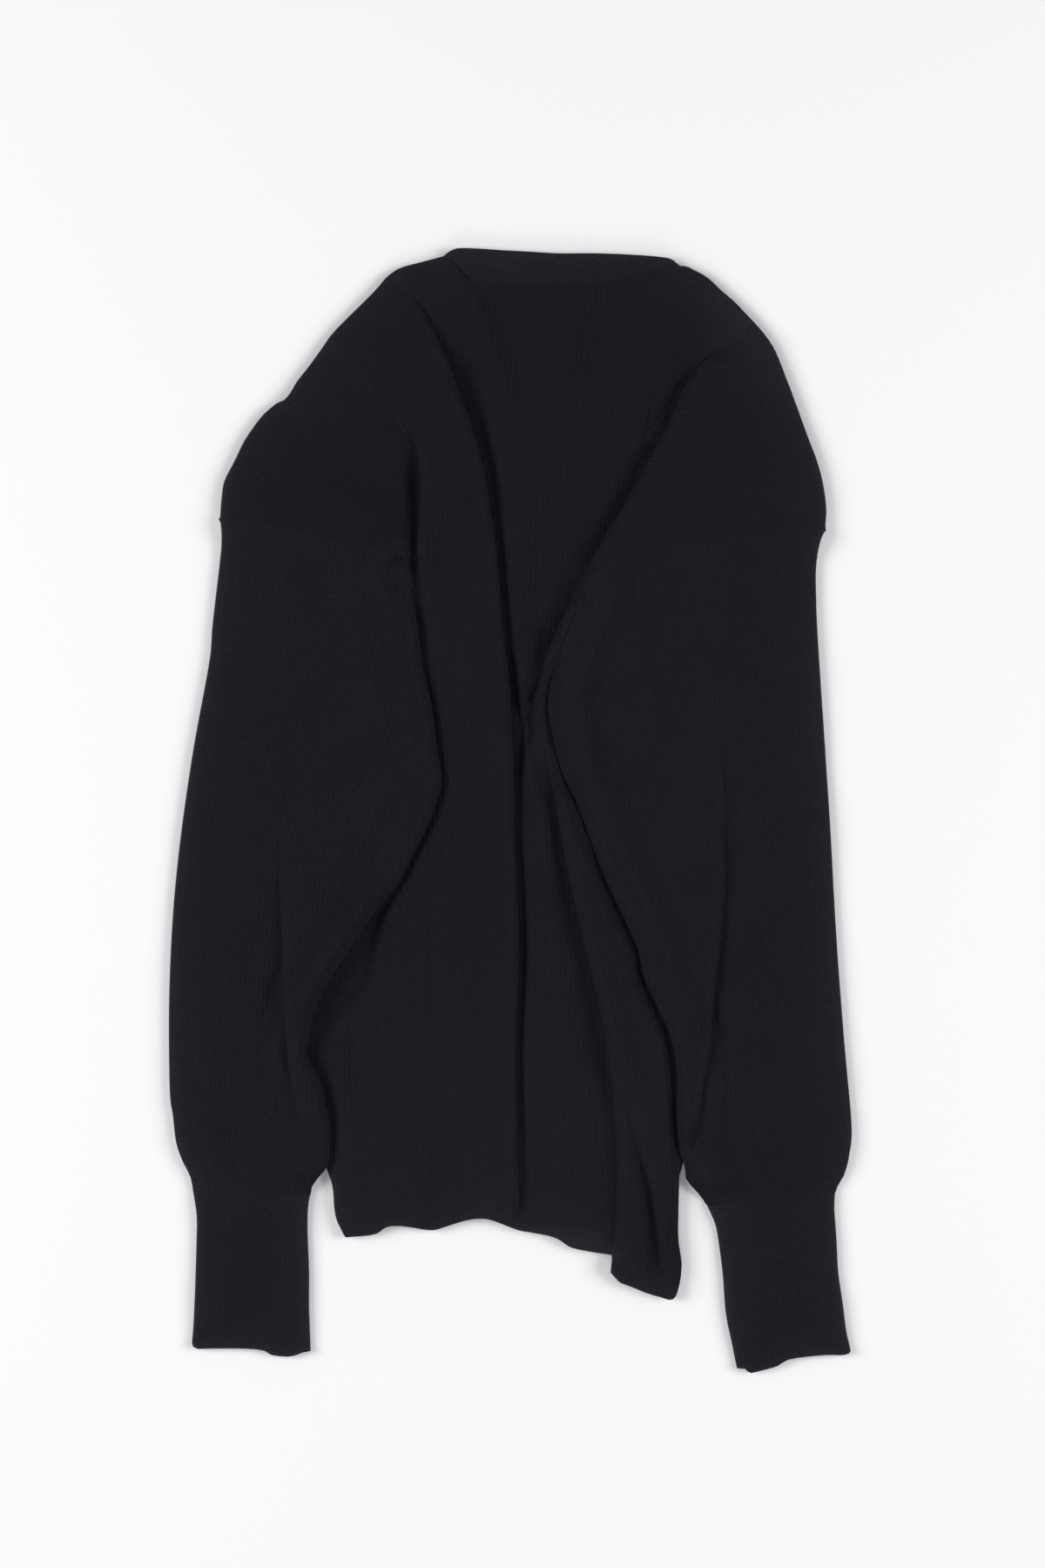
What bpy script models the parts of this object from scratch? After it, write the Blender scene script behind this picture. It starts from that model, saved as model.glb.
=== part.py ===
"""A v-neck sweater in fine 1x1 rib, laid flat with its back up.

The front panel lies on the surface, the back panel lies on it in deep folds, and the
dropped sleeves come down over the sides of the body. Each knitted piece is one solid.
Tables are in millimetres, x from the middle of the garment, y towards the collar and
z up from the surface that it lies on. The origin is the middle of its underside.
"""

import math

import bmesh
import bpy
import numpy as np
from mathutils import Vector
from mathutils.geometry import delaunay_2d_cdt

MM = 0.001

# Knit
WALL = 2.0  # one layer of cloth
SEAM_GAP = 0.3
RIB_PITCH = 3.25
RIB_RELIEF = 0.5  # crest above trough
RIB_INSET = 2.2  # ribs stop this far from an edge or a fold

# Layers, from the surface up
BACK_FLOOR = WALL + SEAM_GAP
BACK_TOP = BACK_FLOOR + WALL
BACK_PUFF = 2.4  # air and tucked cloth under the open stretches of the back
SLEEVE_AIR = 2.3  # between the two layers of a sleeve
SLEEVE_FULL = 2 * WALL + SLEEVE_AIR + 0.2
SLEEVE_RIDE = BACK_TOP + RIB_RELIEF + 0.35  # underside of a sleeve where it lies on the body
RIDE_TO = 18.0  # a sleeve rides this far in from its inner edge,
RIDE_END = 30.0  # and is down on the surface from here on
RIDE_FADE = 13.0  # it comes down over this length above the cuff
CUFF_AIR = 1.0
CUFF_FULL = 2 * WALL + CUFF_AIR + 0.4
FOLDED_EDGE = 2.6  # thickness of a flattened tube at its folded sides
TUBE_ROUND = 9.0  # how far in the rounding of such a side reaches
HOLLOW_INSET = 5.5  # from a folded side to the space inside the tube
BODY_ROUND = 11.0
COVER_ROUND = 9.0  # the body sinks over this distance towards a sleeve's edge
UNDERARM_FADE = 20.0  # how far up the yoke the lift at its underarm reaches

# Mesh spacing
FINE_STEP = 5.0
LINE_STEP = 8.0
COARSE_STEP = 12.0
EDGE_STEP = 9.0
FRONT_STEP = 14.0
RIB_STEP = 25.0  # along the ribs of the back,
TUBE_STEP = 60.0  # and along those of sleeves and cuffs
GRID_STEP = 40.0
RIM_LINE = 3.0  # a line of points this far inside a tube's folded sides
TUBE_ROWS = 14

# ---- Outline, edge by edge: rows of x, y ----
NECK_EDGE = ((-40.3, 350), (-32, 341), (-24, 334.2), (8, 332.2), (63, 332.4), (84, 338), (107, 342.4))
SHOULDER_RIGHT = (
    (107, 343.5), (113, 342), (124, 336), (134, 327), (145, 317), (164, 295),
    (175, 270), (186, 240), (195, 215), (199, 193), (198.5, 177),
)
SEAM_RIGHT = (
    (198.5, 176.5), (170, 173), (147, 170), (132, 167), (109, 165), (90, 161),
    (78, 158), (63, 155), (55, 150), (47, 139),
)
HIDDEN_RIGHT = (
    (47, 139), (49, 122), (46, 104), (41, 84), (40, 66), (44, 48), (50, 27), (59, 4),
    (75, -36), (86, -60), (97, -84), (110, -126), (117, -145), (119, -170), (116, -195),
    (111, -215), (106.5, -230),
)
FLAP_RIGHT = ((106.5, -230), (106, -254), (106, -270), (108, -285), (107, -297), (104.5, -306))
FLAP_HEM = ((104.5, -306), (101, -308), (96, -307), (86, -304), (76, -300), (69, -297), (63, -291))
FLAP_STEP = ((63, -291), (64, -280))
HEM = (
    (64, -280), (51, -278), (38, -275), (28, -269), (14, -266), (4, -264), (-12, -258),
    (-19, -257), (-27, -258), (-37, -261), (-47, -264), (-54, -264), (-67, -262),
    (-77, -262), (-86, -267), (-104, -269),
)
HEM_CORNER = ((-104, -269), (-109, -259), (-111, -250), (-112, -237), (-116, -225))
HIDDEN_LEFT = (
    (-116, -225), (-120, -215), (-128, -195), (-136, -170), (-143, -150), (-139, -125),
    (-124, -95), (-100, -55), (-78, -25), (-62, 0), (-57, 18), (-59, 39), (-64, 68),
    (-70, 100), (-74, 131), (-72, 157),
)
SEAM_LEFT = (
    (-183, 183), (-177, 183), (-160, 180), (-139, 176), (-116, 170), (-96, 165),
    (-81, 162), (-72, 157),
)
SHOULDER_LEFT = (
    (-183, 183), (-182, 197), (-180, 208), (-174, 220), (-167, 234), (-157, 248),
    (-148, 256), (-141, 260), (-134, 271), (-127, 280), (-119, 291), (-110, 303),
    (-86, 327), (-78, 336), (-69, 342), (-55, 346), (-40.3, 350),
)
SLEEVE_LEFT_OUTER = (
    (-182.5, 182.4), (-182, 174), (-183, 160), (-188, 117), (-190, 94), (-200, 39),
    (-208, -16), (-213, -66), (-215.4, -121), (-215, -176), (-213, -192), (-211, -209),
    (-207, -221), (-202, -231), (-200, -242),
)
SLEEVE_LEFT_INNER = (
    (-70, 155.5), (-62, 150), (-57, 131), (-54, 100), (-51, 86), (-48, 68), (-43, 39),
    (-40, 21), (-43, 10), (-51, -8), (-61, -27), (-71, -46), (-86, -64), (-108, -97),
    (-121, -120), (-127, -144), (-128, -153), (-121, -166), (-117, -181), (-114, -197),
    (-114, -218), (-116, -225), (-120, -230), (-125, -237), (-126, -242),
)
SLEEVE_RIGHT_OUTER = (
    (198, 175.8), (195, 169), (193, 153), (193, 138), (194, 111), (198, 50), (202, -11),
    (206, -82), (211, -148), (215.4, -198), (214, -217), (211, -229), (206, -238), (205, -241.5),
)
SLEEVE_RIGHT_INNER = (
    (47.3, 138.2), (41, 124), (32, 102), (26, 83), (24, 72), (24, 64), (27, 46), (33, 24),
    (42, 5), (49, -14), (57, -36), (68, -60), (80, -86), (84, -104), (94, -126),
    (102, -145), (105, -170), (105, -192), (107, -214), (110, -229), (113, -235),
    (119, -242), (124, -249),
)
CUFF_LEFT_OUTER = ((-200, -242.3), (-198, -255), (-198, -269), (-199, -302), (-200, -324), (-201, -336))
CUFF_LEFT_INNER = ((-126, -242.3), (-127.5, -249), (-128, -263), (-127, -291), (-127, -313), (-126, -341))
CUFF_LEFT_HEM = (
    (-201, -336), (-197, -339), (-189, -339), (-168, -339), (-156, -340), (-150, -343),
    (-141, -344), (-135, -343), (-130, -341), (-126, -341),
)
CUFF_RIGHT_OUTER = (
    (205, -241.9), (204.5, -250), (205, -258), (206, -272), (207, -291), (210, -312),
    (212, -328), (215, -341),
)
CUFF_RIGHT_INNER = (
    (124, -249.4), (129, -260), (131, -269), (134, -292), (136, -317), (140, -337), (143, -352),
)
CUFF_RIGHT_HEM = (
    (215, -341), (210, -343), (200, -343), (188, -344), (175, -346), (168, -350),
    (158, -353), (151, -354), (147, -351), (143, -352),
)

# ---- Folds of the back: rows of x, y, height of the lip, depth of the foot ----
FOLD_LEFT = (
    (-63, 326, 0, 0), (-52, 313, 1.5, 1), (-41, 297, 3, 2), (-28, 268, 6, 3), (-21, 249, 7, 3),
    (-15, 228, 7, 3), (-10, 206, 7, 3), (-4, 163, 6, 3), (-1, 111, 5, 3), (2, 84, 5, 3),
    (7.5, 54, 5, 3), (7, 32, 4, 2.5), (6, 10, 3.5, 2), (7, -20, 3, 2), (9, -86, 2.5, 2),
    (8, -148, 2.5, 2), (8, -203, 3, 2), (8, -247, 3, 2), (3, -262, 2, 1),
)
FOLD_STRIP = (
    (-67, 237, 0, 0), (-62, 227, 3, 2), (-62, 214, 5, 2.4), (-63, 200, 6, 2.4), (-62, 181, 6, 2.4),
    (-61, 167, 5, 2.4), (-59.5, 148, 3, 1),
)
FOLD_RIGHT = (
    (138, 294, 0, 0), (122, 285, 2, 1.5), (113, 275, 4, 2), (105, 262, 5.5, 3), (96, 244, 7, 3),
    (72, 203, 8, 3), (53, 167, 8, 3), (44, 152, 8, 3), (35, 133, 7, 3), (28, 116, 6, 3),
    (20, 99, 5, 3), (13, 70, 3, 3), (9.5, 56, 1, 1),
)
FOLD_LOW = (
    (17, 50, 1, 1), (23, 32, 3, 2), (27, 2, 4.5, 2.5), (37, -49, 5.5, 2.5), (52, -111, 6, 3),
    (61, -153, 6, 3), (65, -214, 5, 2.5), (65, -243, 5, 2), (64, -272, 4, 2),
)
# Which side of each fold is the upper one, seen along its rows: 1 is the left, -1 the right.
BACK_FOLDS = ((FOLD_LEFT, -1), (FOLD_STRIP, 1), (FOLD_RIGHT, 1), (FOLD_LOW, 1))
LIP_REACH = 24.0
FOOT_REACH = 13.0
LIP_HALF = 0.9  # half the width of the steep side of a fold

# ---- Soft creases: rows of x, y; then height and half width ----
BACK_CREASES = (
    (((-29, 343), (-18, 328), (-10, 313), (-4, 294), (2, 271), (3, 252)), -1.2, 6.0),
    (((69, 337), (57, 317), (46, 292)), -1.2, 7.0),
    (((41, 231), (30, 204), (21, 171), (16, 132), (13, 94)), -1.0, 7.0),
    (((67, -182), (74, -198), (81, -221), (87, -243), (93, -285)), -2.4, 6.0),
    (((62, -122), (74, -164)), 1.6, 7.0),
    (((-102, -99), (-102, -193)), -1.2, 6.0),
)
SLEEVE_LEFT_CREASES = (
    (((-146, -38), (-144, -82), (-141, -121), (-141, -154), (-135, -183), (-130, -206)), -2.0, 8.0),
    (((-183, -150), (-176, -200), (-172, -238)), -1.4, 6.0),
    (((-160, -180), (-155, -240)), -1.2, 5.0),
)
SLEEVE_RIGHT_CREASES = (
    (((134, 28), (137, -11), (135, -66), (133, -110), (124, -164), (118, -191), (114, -221)), -2.0, 8.0),
    (((172, -170), (170, -205), (167, -238)), -1.4, 6.0),
    (((150, -190), (150, -240)), -1.2, 5.0),
)

# ---- Ribs of the yoke: number of the rib, then four x, y that it passes ----
LEFT_YOKE_RIBS = (
    (0, (-181, 185.5), (-139, 178), (-96, 167.5), (-66, 159)),
    (12, (-174, 220), (-135, 208), (-98, 193), (-64, 178)),
    (22, (-157, 248), (-125, 228), (-95, 210), (-64, 193)),
    (32, (-134, 271), (-108, 249), (-85, 230), (-63, 211)),
    (41, (-117, 294), (-95, 272), (-78, 253), (-65, 235)),
)
CENTRE_RIBS = (
    (0, (-66, 350), (-66, 300), (-76, 190), (-89, 50)),
    (43, (74, 345), (70, 300), (60, 190), (47, 50)),
    (51, (104, 347), (98, 312), (93, 280), (86, 240)),
    (56, (124, 338), (113, 312), (107, 290), (100, 255)),
    (62, (146, 319), (130, 302), (122, 290), (112, 274)),
)
RIGHT_YOKE_RIBS = (
    (0, (150, 313), (141, 299), (132, 289), (119, 281)),
    (6, (164, 297), (147, 287), (130, 280), (113, 273)),
    (15, (176, 271), (148, 259), (120, 248), (92, 238)),
    (25, (187, 241), (150, 228), (110, 215), (70, 201)),
    (33, (196, 216), (150, 203), (104, 190), (58, 176)),
    (40, (199.5, 193), (150, 183), (102, 173), (50, 162)),
    (43, (199, 181), (150, 174.5), (102, 167.5), (56, 154)),
)
# Ribs of the body run beside the left fold: rows of its rib and of the one 18 ribs to the left.
STRIP_RIBS = 18
BODY_RIBS = (
    ((-78, 337), (-114, 299)),
    ((-63, 326), (-98, 281)),
    ((-42, 297), (-80, 260)),
    ((-29, 268), (-67, 241)),
    ((-22, 249), (-62, 226)),
    ((-16, 228), (-60, 208)),
    ((-11, 206), (-60, 190)),
    ((-8, 186), (-61, 172)),
    ((-4, 142), (-61, 136)),
    ((1, 84), (-56, 82)),
    ((6, 40), (-51, 40)),
    ((6, -20), (-51, -20)),
    ((7, -86), (-51, -86)),
    ((7, -148), (-51, -148)),
    ((7, -203), (-50, -203)),
    ((6, -275), (-50, -275)),
)
SIDE_FROM = 7  # ribs further left than the strip start at this row
SIDE_RIBS = 46  # the last rib of the body, counted leftwards from the left fold
# Between the left fold and the low fold the ribs run down from LOW_STRIP_TOP, and right of
# the low fold they start under the right fold.
LOW_FOLD_FROM = 56.0
LOW_STRIP_TOP = 46.0
LOW_STRIP_RIBS = 18
RIGHT_STRIP_HEAD = ((-4, 150), (9, 90))
RIGHT_STRIP_FOOT = (64, -330)
RIGHT_STRIP_TOP = 128.0
RIGHT_STRIP_RIBS = 22
# Above the left strip its edge runs out over the shoulder.
STRIP_HEAD = ((-114, 298), (-90, 270))
SLEEVE_RIBS = 50
SLEEVE_LEAN = {"left": 0.05, "right": 0.10}  # the innermost rib leans in this much a millimetre
SLEEVE_FOOT = {"left": -240.0, "right": -245.0}  # y where a sleeve is down on the surface
CUFF_RIBS = 23
CUFF_DRAW = 0.25  # share of the sleeve's width that is drawn in at the cuff,
GATHER_FROM = -185.0  # from this y
GATHER_OVER = 55.0  # over this length


# ---- Lines and distances ----
def resample(curve, step):
    """The same line with points at an even spacing near `step`."""
    lengths = np.hypot(*np.diff(curve[:, :2], axis=0).T)
    along = np.concatenate([[0.0], np.cumsum(lengths)])
    places = np.linspace(0.0, along[-1], max(2, round(along[-1] / step) + 1))
    return np.column_stack([np.interp(places, along, column) for column in curve.T])


def smooth(rows, step):
    """A smooth line through the rows, one column for each of theirs."""
    points = np.array(rows, float)
    padded = np.vstack([2 * points[0] - points[1], points, 2 * points[-1] - points[-2]])
    t = np.linspace(0.0, 1.0, 9)[:-1, None]
    pieces = []
    for a, b, c, d in zip(padded, padded[1:], padded[2:], padded[3:]):
        pieces.append(0.5 * (2 * b + (c - a) * t + (2 * a - 5 * b + 4 * c - d) * t**2
                             + (3 * b - a - 3 * c + d) * t**3))
    return resample(np.vstack(pieces + [points[-1:]]), step)


def beside(xy, line):
    """Distance of each point from the line, positive on its left, and the share of the way along."""
    starts = line[:-1, :2]
    steps = np.diff(line[:, :2], axis=0)
    share = ((xy[:, None] - starts) * steps).sum(2) / (steps**2).sum(1)
    share = np.clip(share, 0.0, 1.0)
    gap = xy[:, None] - (starts + share[..., None] * steps)
    distance = np.hypot(gap[..., 0], gap[..., 1])
    nearest = distance.argmin(1)
    row = np.arange(len(xy))
    gap = gap[row, nearest]
    turn = steps[nearest, 0] * gap[:, 1] - steps[nearest, 1] * gap[:, 0]
    side = np.where(turn >= 0, 1.0, -1.0)
    return side * distance[row, nearest], (nearest + share[row, nearest]) / len(steps)


def inside(xy, loop):
    """True for each point within the closed loop."""
    x, y = xy[:, 0, None], xy[:, 1, None]
    ax, ay = loop[:, 0], loop[:, 1]
    bx, by = np.roll(ax, -1), np.roll(ay, -1)
    crosses = (ay > y) != (by > y)
    rise = np.where(by == ay, 1.0, by - ay)
    left_of = x < (bx - ax) * (y - ay) / rise + ax
    return (crosses & left_of).sum(1) % 2 == 1


def ease(t):
    t = np.clip(t, 0.0, 1.0)
    return t * t * (3 - 2 * t)


def rounding(distance, reach):
    """0 at an edge and 1 from `reach` on, along a quarter circle."""
    t = np.clip(distance / reach, 0.0, 1.0)
    return np.sqrt(1 - (1 - t) ** 2)


def loop_of(*edges, step=EDGE_STEP):
    """One closed outline from edges given end to end."""
    return np.vstack([smooth(edge, step)[:-1] for edge in edges])


def turned(rows):
    return tuple(reversed(rows))


def moved(line, distance):
    """The line shifted to its left by `distance`."""
    along = np.gradient(line[:, :2], axis=0)
    along /= np.hypot(along[:, 0], along[:, 1])[:, None]
    return line[:, :2] + distance * np.column_stack([-along[:, 1], along[:, 0]])


# ---- Height of each layer ----
def fold_rise(xy, rows, upper):
    """A step between the lip of a fold and its foot, fading away from the line."""
    line = smooth(rows, 6.0)
    distance, share = beside(xy, line)
    distance = distance * upper
    place = share * (len(line) - 1)
    lip = np.interp(place, np.arange(len(line)), line[:, 2])
    foot = np.interp(place, np.arange(len(line)), line[:, 3])
    above = lip * np.exp(-(np.maximum(distance, 0) / LIP_REACH) ** 2)
    below = -foot * np.exp(-(np.minimum(distance, 0) / FOOT_REACH) ** 2)
    return below + (above - below) * ease((distance + LIP_HALF) / (2 * LIP_HALF))


def crease_rise(xy, creases):
    rise = np.zeros(len(xy))
    for rows, height, half_width in creases:
        distance, share = beside(xy, smooth(rows, LINE_STEP))
        fade = ease(4 * share) * ease(4 * (1 - share))
        rise += height * fade * np.exp(-((distance / half_width) ** 2))
    return rise


BACK_LOOP = loop_of(
    NECK_EDGE, SHOULDER_RIGHT, SEAM_RIGHT, HIDDEN_RIGHT, FLAP_RIGHT, FLAP_HEM, FLAP_STEP,
    HEM, HEM_CORNER, HIDDEN_LEFT, turned(SEAM_LEFT), SHOULDER_LEFT,
)[::-1]


def seam_below(rows):
    """A sleeve's edge along an armhole seam, a gap below the body's."""
    return tuple((x, y - 2 * SEAM_GAP) for x, y in rows)


SLEEVE_LEFT_LOOP = loop_of(
    turned(SLEEVE_LEFT_OUTER), seam_below(SEAM_LEFT[1:]) + (SLEEVE_LEFT_INNER[0],),
    SLEEVE_LEFT_INNER, (SLEEVE_LEFT_INNER[-1], SLEEVE_LEFT_OUTER[-1]),
)[::-1]
SLEEVE_RIGHT_LOOP = loop_of(
    SLEEVE_RIGHT_OUTER, (SLEEVE_RIGHT_OUTER[-1], SLEEVE_RIGHT_INNER[-1]),
    turned(SLEEVE_RIGHT_INNER), turned(seam_below(SEAM_RIGHT[1:-1])) + (SLEEVE_RIGHT_OUTER[0],),
)[::-1]


def covered(xy):
    """0 under a sleeve and 1 well clear of both."""
    shown = np.ones(len(xy))
    for loop, edge in ((SLEEVE_LEFT_LOOP, SLEEVE_LEFT_INNER), (SLEEVE_RIGHT_LOOP, SLEEVE_RIGHT_INNER)):
        distance, _ = beside(xy, smooth(edge, LINE_STEP))
        near = ease(np.abs(distance) / COVER_ROUND)
        shown *= np.where(inside(xy, loop), 0.0, near)
    return shown


def underarm_lift(xy):
    """The left yoke rises towards its underarm, where the sleeve rides on the body."""
    from_sleeve = np.abs(beside(xy, smooth(SLEEVE_LEFT_INNER, LINE_STEP))[0])
    from_seam = np.abs(beside(xy, smooth(SEAM_LEFT, LINE_STEP))[0])
    ride = np.clip((RIDE_END - from_sleeve) / (RIDE_END - RIDE_TO), 0.0, 1.0)
    yoke = xy[:, 1] > SEAM_LEFT[-1][1] + 1
    fade = np.exp(-((from_seam / UNDERARM_FADE) ** 2))
    return SLEEVE_RIDE * ride * ease(from_sleeve / COVER_ROUND) * fade * yoke


def back_height(xy):
    free_edges = (SHOULDER_LEFT, SHOULDER_RIGHT, FLAP_RIGHT, FLAP_HEM, HEM, HEM_CORNER)
    edge = np.ones(len(xy))
    for rows in free_edges:
        distance = np.abs(beside(xy, smooth(rows, LINE_STEP))[0])
        edge = np.minimum(edge, rounding(distance, BODY_ROUND))
    rise = np.full(len(xy), BACK_PUFF)
    for rows, upper in BACK_FOLDS:
        rise += fold_rise(xy, rows, upper)
    rise += crease_rise(xy, BACK_CREASES)
    return BACK_TOP + np.maximum(rise, 0.0) * edge * covered(xy) + underarm_lift(xy)


def sleeve_floor(inner, foot_y):
    """Underside of a sleeve: up on the body along its inner edge, else on the surface."""
    line = smooth(inner, LINE_STEP)

    def height(xy):
        distance = np.abs(beside(xy, line)[0])
        ride = np.clip((RIDE_END - distance) / (RIDE_END - RIDE_TO), 0.0, 1.0)
        return SLEEVE_RIDE * ride * np.clip((xy[:, 1] - foot_y) / RIDE_FADE, 0.0, 1.0)

    return height


def tube_top(floor, full, sides, creases):
    """Upper side of a flattened tube, rounded down towards its two folded sides."""
    lines = [smooth(side, LINE_STEP) for side in sides]

    def height(xy):
        edge = np.ones(len(xy))
        for line in lines:
            edge = np.minimum(edge, rounding(np.abs(beside(xy, line)[0]), TUBE_ROUND))
        body = FOLDED_EDGE + (full - FOLDED_EDGE) * edge
        return floor(xy) + body + crease_rise(xy, creases) * edge

    return height


# ---- Ribs ----
def between(guides, number):
    """The line of one rib, between the guide ribs on either side of it."""
    numbers = [guide[0] for guide in guides]
    right = next(i for i, n in enumerate(numbers[1:], 1) if number <= n)
    share = (number - numbers[right - 1]) / (numbers[right] - numbers[right - 1])
    first = np.array(guides[right - 1][1:], float)
    second = np.array(guides[right][1:], float)
    return smooth(first + share * (second - first), 3.0)


def clipped(line, loop, folds, side_tests, step, covers=()):
    """The stretches of a rib inside the outline, clear of it, of every fold and of what covers it."""
    keep = inside(line, loop)
    keep &= np.abs(beside(line, np.vstack([loop, loop[:1]]))[0]) > RIB_INSET
    for cover in covers:
        keep &= ~inside(line, cover)
    for fold in folds:
        keep &= np.abs(beside(line, fold)[0]) > RIB_INSET
    for fold, side in side_tests:
        keep &= beside(line, fold)[0] * side > 0
    marks = np.flatnonzero(np.diff(np.concatenate([[False], keep, [False]]).astype(int)))
    runs = [line[a:b] for a, b in marks.reshape(-1, 2)]
    return [resample(run, step) for run in runs if len(run) > 3]


def rib_numbers(first, last):
    """Half numbers: whole ones are crests and the halves between them are troughs."""
    return np.arange(first * 2, last * 2 + 1) / 2


def lift(number):
    return RIB_RELIEF / 2 if number == int(number) else -RIB_RELIEF / 2


def body_rib(number):
    """The rib this many to the left of the left fold; a negative number lies to its right."""
    rows = [np.add(near, (np.subtract(far, near)) * number / STRIP_RIBS) for near, far in BODY_RIBS]
    if number > STRIP_RIBS:
        rows = rows[SIDE_FROM:]
    return smooth(rows, 3.0)


def back_ribs():
    folds = [smooth(rows, 6.0) for rows, _ in BACK_FOLDS]
    left, strip, right, low = folds
    covers = (SLEEVE_LEFT_LOOP, SLEEVE_RIGHT_LOOP)
    edges = [smooth(rows, 6.0) for rows in (SLEEVE_LEFT_INNER, SLEEVE_RIGHT_INNER)]
    strip_line = np.vstack([STRIP_HEAD, strip[:, :2], smooth(SLEEVE_LEFT_INNER, LINE_STEP)[3:]])
    found = []

    def add(number, line, tests):
        runs = clipped(line, BACK_LOOP, folds + edges, tests, RIB_STEP, covers)
        found.extend((lift(number), run) for run in runs)

    for number in rib_numbers(0, LEFT_YOKE_RIBS[-1][0]):
        add(number, between(LEFT_YOKE_RIBS, number), [(strip_line, -1)])
    for number in rib_numbers(1, SIDE_RIBS):
        beside_strip = [(strip, -1)] if number > STRIP_RIBS else []
        add(number, body_rib(number), [(left, -1)] + beside_strip)
    for number in rib_numbers(0, CENTRE_RIBS[-1][0]):
        add(number, between(CENTRE_RIBS, number), [(left, 1), (right, -1)])
    for number in rib_numbers(0, RIGHT_YOKE_RIBS[-1][0]):
        add(number, between(RIGHT_YOKE_RIBS, number), [(right, 1)])
    low_left = left[left[:, 1] < LOW_FOLD_FROM][:, :2]
    for count in rib_numbers(1, LOW_STRIP_RIBS):
        line = resample(low_left + (RIB_PITCH * count, 0.0), 3.0)
        add(count, line[line[:, 1] < LOW_STRIP_TOP], [(left, 1), (low, -1)])
    right_strip = np.vstack([RIGHT_STRIP_HEAD, low[:, :2], RIGHT_STRIP_FOOT])
    for count in rib_numbers(1, RIGHT_STRIP_RIBS):
        line = resample(right_strip + (RIB_PITCH * count, 0.0), 3.0)
        add(count, line[line[:, 1] < RIGHT_STRIP_TOP], [(low, 1), (right, 1)])
    return found


def tube_ribs(outer, inner, loop, tilt):
    """Ribs beside a sleeve's outer edge, leaning inwards and drawn together at the cuff."""
    edge = smooth(outer, 3.0)
    edge = np.vstack([edge[:1] + (0.0, 3.0), edge])
    across = math.copysign(1.0, inner[0][0] - outer[0][0])
    drop = edge[0, 1] - edge[:, 1]
    drawn = 1 - CUFF_DRAW * ease((GATHER_FROM - edge[:, 1]) / GATHER_OVER)
    found = []
    for number in rib_numbers(1, SLEEVE_RIBS):
        reach = RIB_PITCH * number * drawn - tilt * drop * number / SLEEVE_RIBS
        line = np.column_stack([edge[:, 0] + across * reach, edge[:, 1]])
        found.extend((lift(number), run) for run in clipped(line, loop, [], [], TUBE_STEP))
    return found


def paced(rows, count):
    """A set number of evenly spaced points along a smooth line."""
    line = smooth(rows, 1.0)
    picks = np.round(np.linspace(0, len(line) - 1, count)).astype(int)
    return line[picks]


def cuff_ribs(outer, inner, loop):
    """Ribs along a cuff, between its two folded sides."""
    first, second = paced(outer, TUBE_ROWS), paced(inner, TUBE_ROWS)
    found = []
    for number in rib_numbers(1, CUFF_RIBS - 1):
        line = resample(first + (second - first) * number / CUFF_RIBS, 3.0)
        found.extend((lift(number), run) for run in clipped(line, loop, [], [], TUBE_STEP))
    return found


# ---- Meshes ----
def triangulate(loop, lines):
    """Triangles of an outline that keep every line: places, faces and the input point of each place."""
    points = [Vector(p[:2]) for p in loop]
    edges = []
    for line in lines:
        first = len(points)
        points.extend(Vector(p[:2]) for p in line)
        edges.extend((i, i + 1) for i in range(first, len(points) - 1))
    places, _, faces, origins, _, _ = delaunay_2d_cdt(points, edges, [range(len(loop))], 1, 1e-4)
    return np.array([tuple(p) for p in places]), faces, [o[0] if o else -1 for o in origins]


def grid_points(loop, step):
    """Loose points inside the outline, a step apart, as short lines."""
    low, high = loop.min(0), loop.max(0)
    x, y = np.meshgrid(np.arange(low[0] + step / 2, high[0], step), np.arange(low[1], high[1], step))
    xy = np.column_stack([x.ravel(), y.ravel()])
    clear = inside(xy, loop) & (np.abs(beside(xy, np.vstack([loop, loop[:1]]))[0]) > step / 4)
    return [point[None] for point in xy[clear]]


def layer(name, loop, top, bottom, ribs, top_lines, bottom_lines, material, collection):
    """A solid between two heights inside an outline, with ribs raised in its upper side."""
    lines = [run for _, run in ribs] + top_lines
    offsets = np.zeros(len(loop) + sum(map(len, lines)))
    cursor = len(loop)
    for raised, run in ribs:
        offsets[cursor:cursor + len(run)] = raised
        cursor += len(run)
    mesh = bmesh.new()
    rims = []
    for heights, kept_lines, extra, flip in (
        (top, lines, offsets, False),
        (bottom, bottom_lines, None, True),
    ):
        places, faces, origins = triangulate(loop, kept_lines)
        z = heights(places)
        if extra is not None:
            z = z + [extra[o] if o >= 0 else 0.0 for o in origins]
        verts = [mesh.verts.new((x * MM, y * MM, h * MM)) for (x, y), h in zip(places, z)]
        for face in faces:
            corners = [verts[i] for i in face]
            mesh.faces.new(corners[::-1] if flip else corners)
        rims.append([verts[origins.index(i)] for i in range(len(loop))])
    upper, lower = rims
    for i in range(len(loop)):
        j = (i + 1) % len(loop)
        mesh.faces.new((upper[i], lower[i], lower[j], upper[j]))
    bmesh.ops.recalc_face_normals(mesh, faces=mesh.faces)
    return finished(name, mesh, material, collection)


def finished(name, mesh, material, collection):
    data = bpy.data.meshes.new(name)
    mesh.to_mesh(data)
    mesh.free()
    data.shade_smooth()
    data.set_sharp_from_angle(angle=math.radians(50))
    data.materials.append(material)
    piece = bpy.data.objects.new(name, data)
    collection.objects.link(piece)
    return piece


def flat(height):
    return lambda xy: np.full(len(xy), height)


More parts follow.
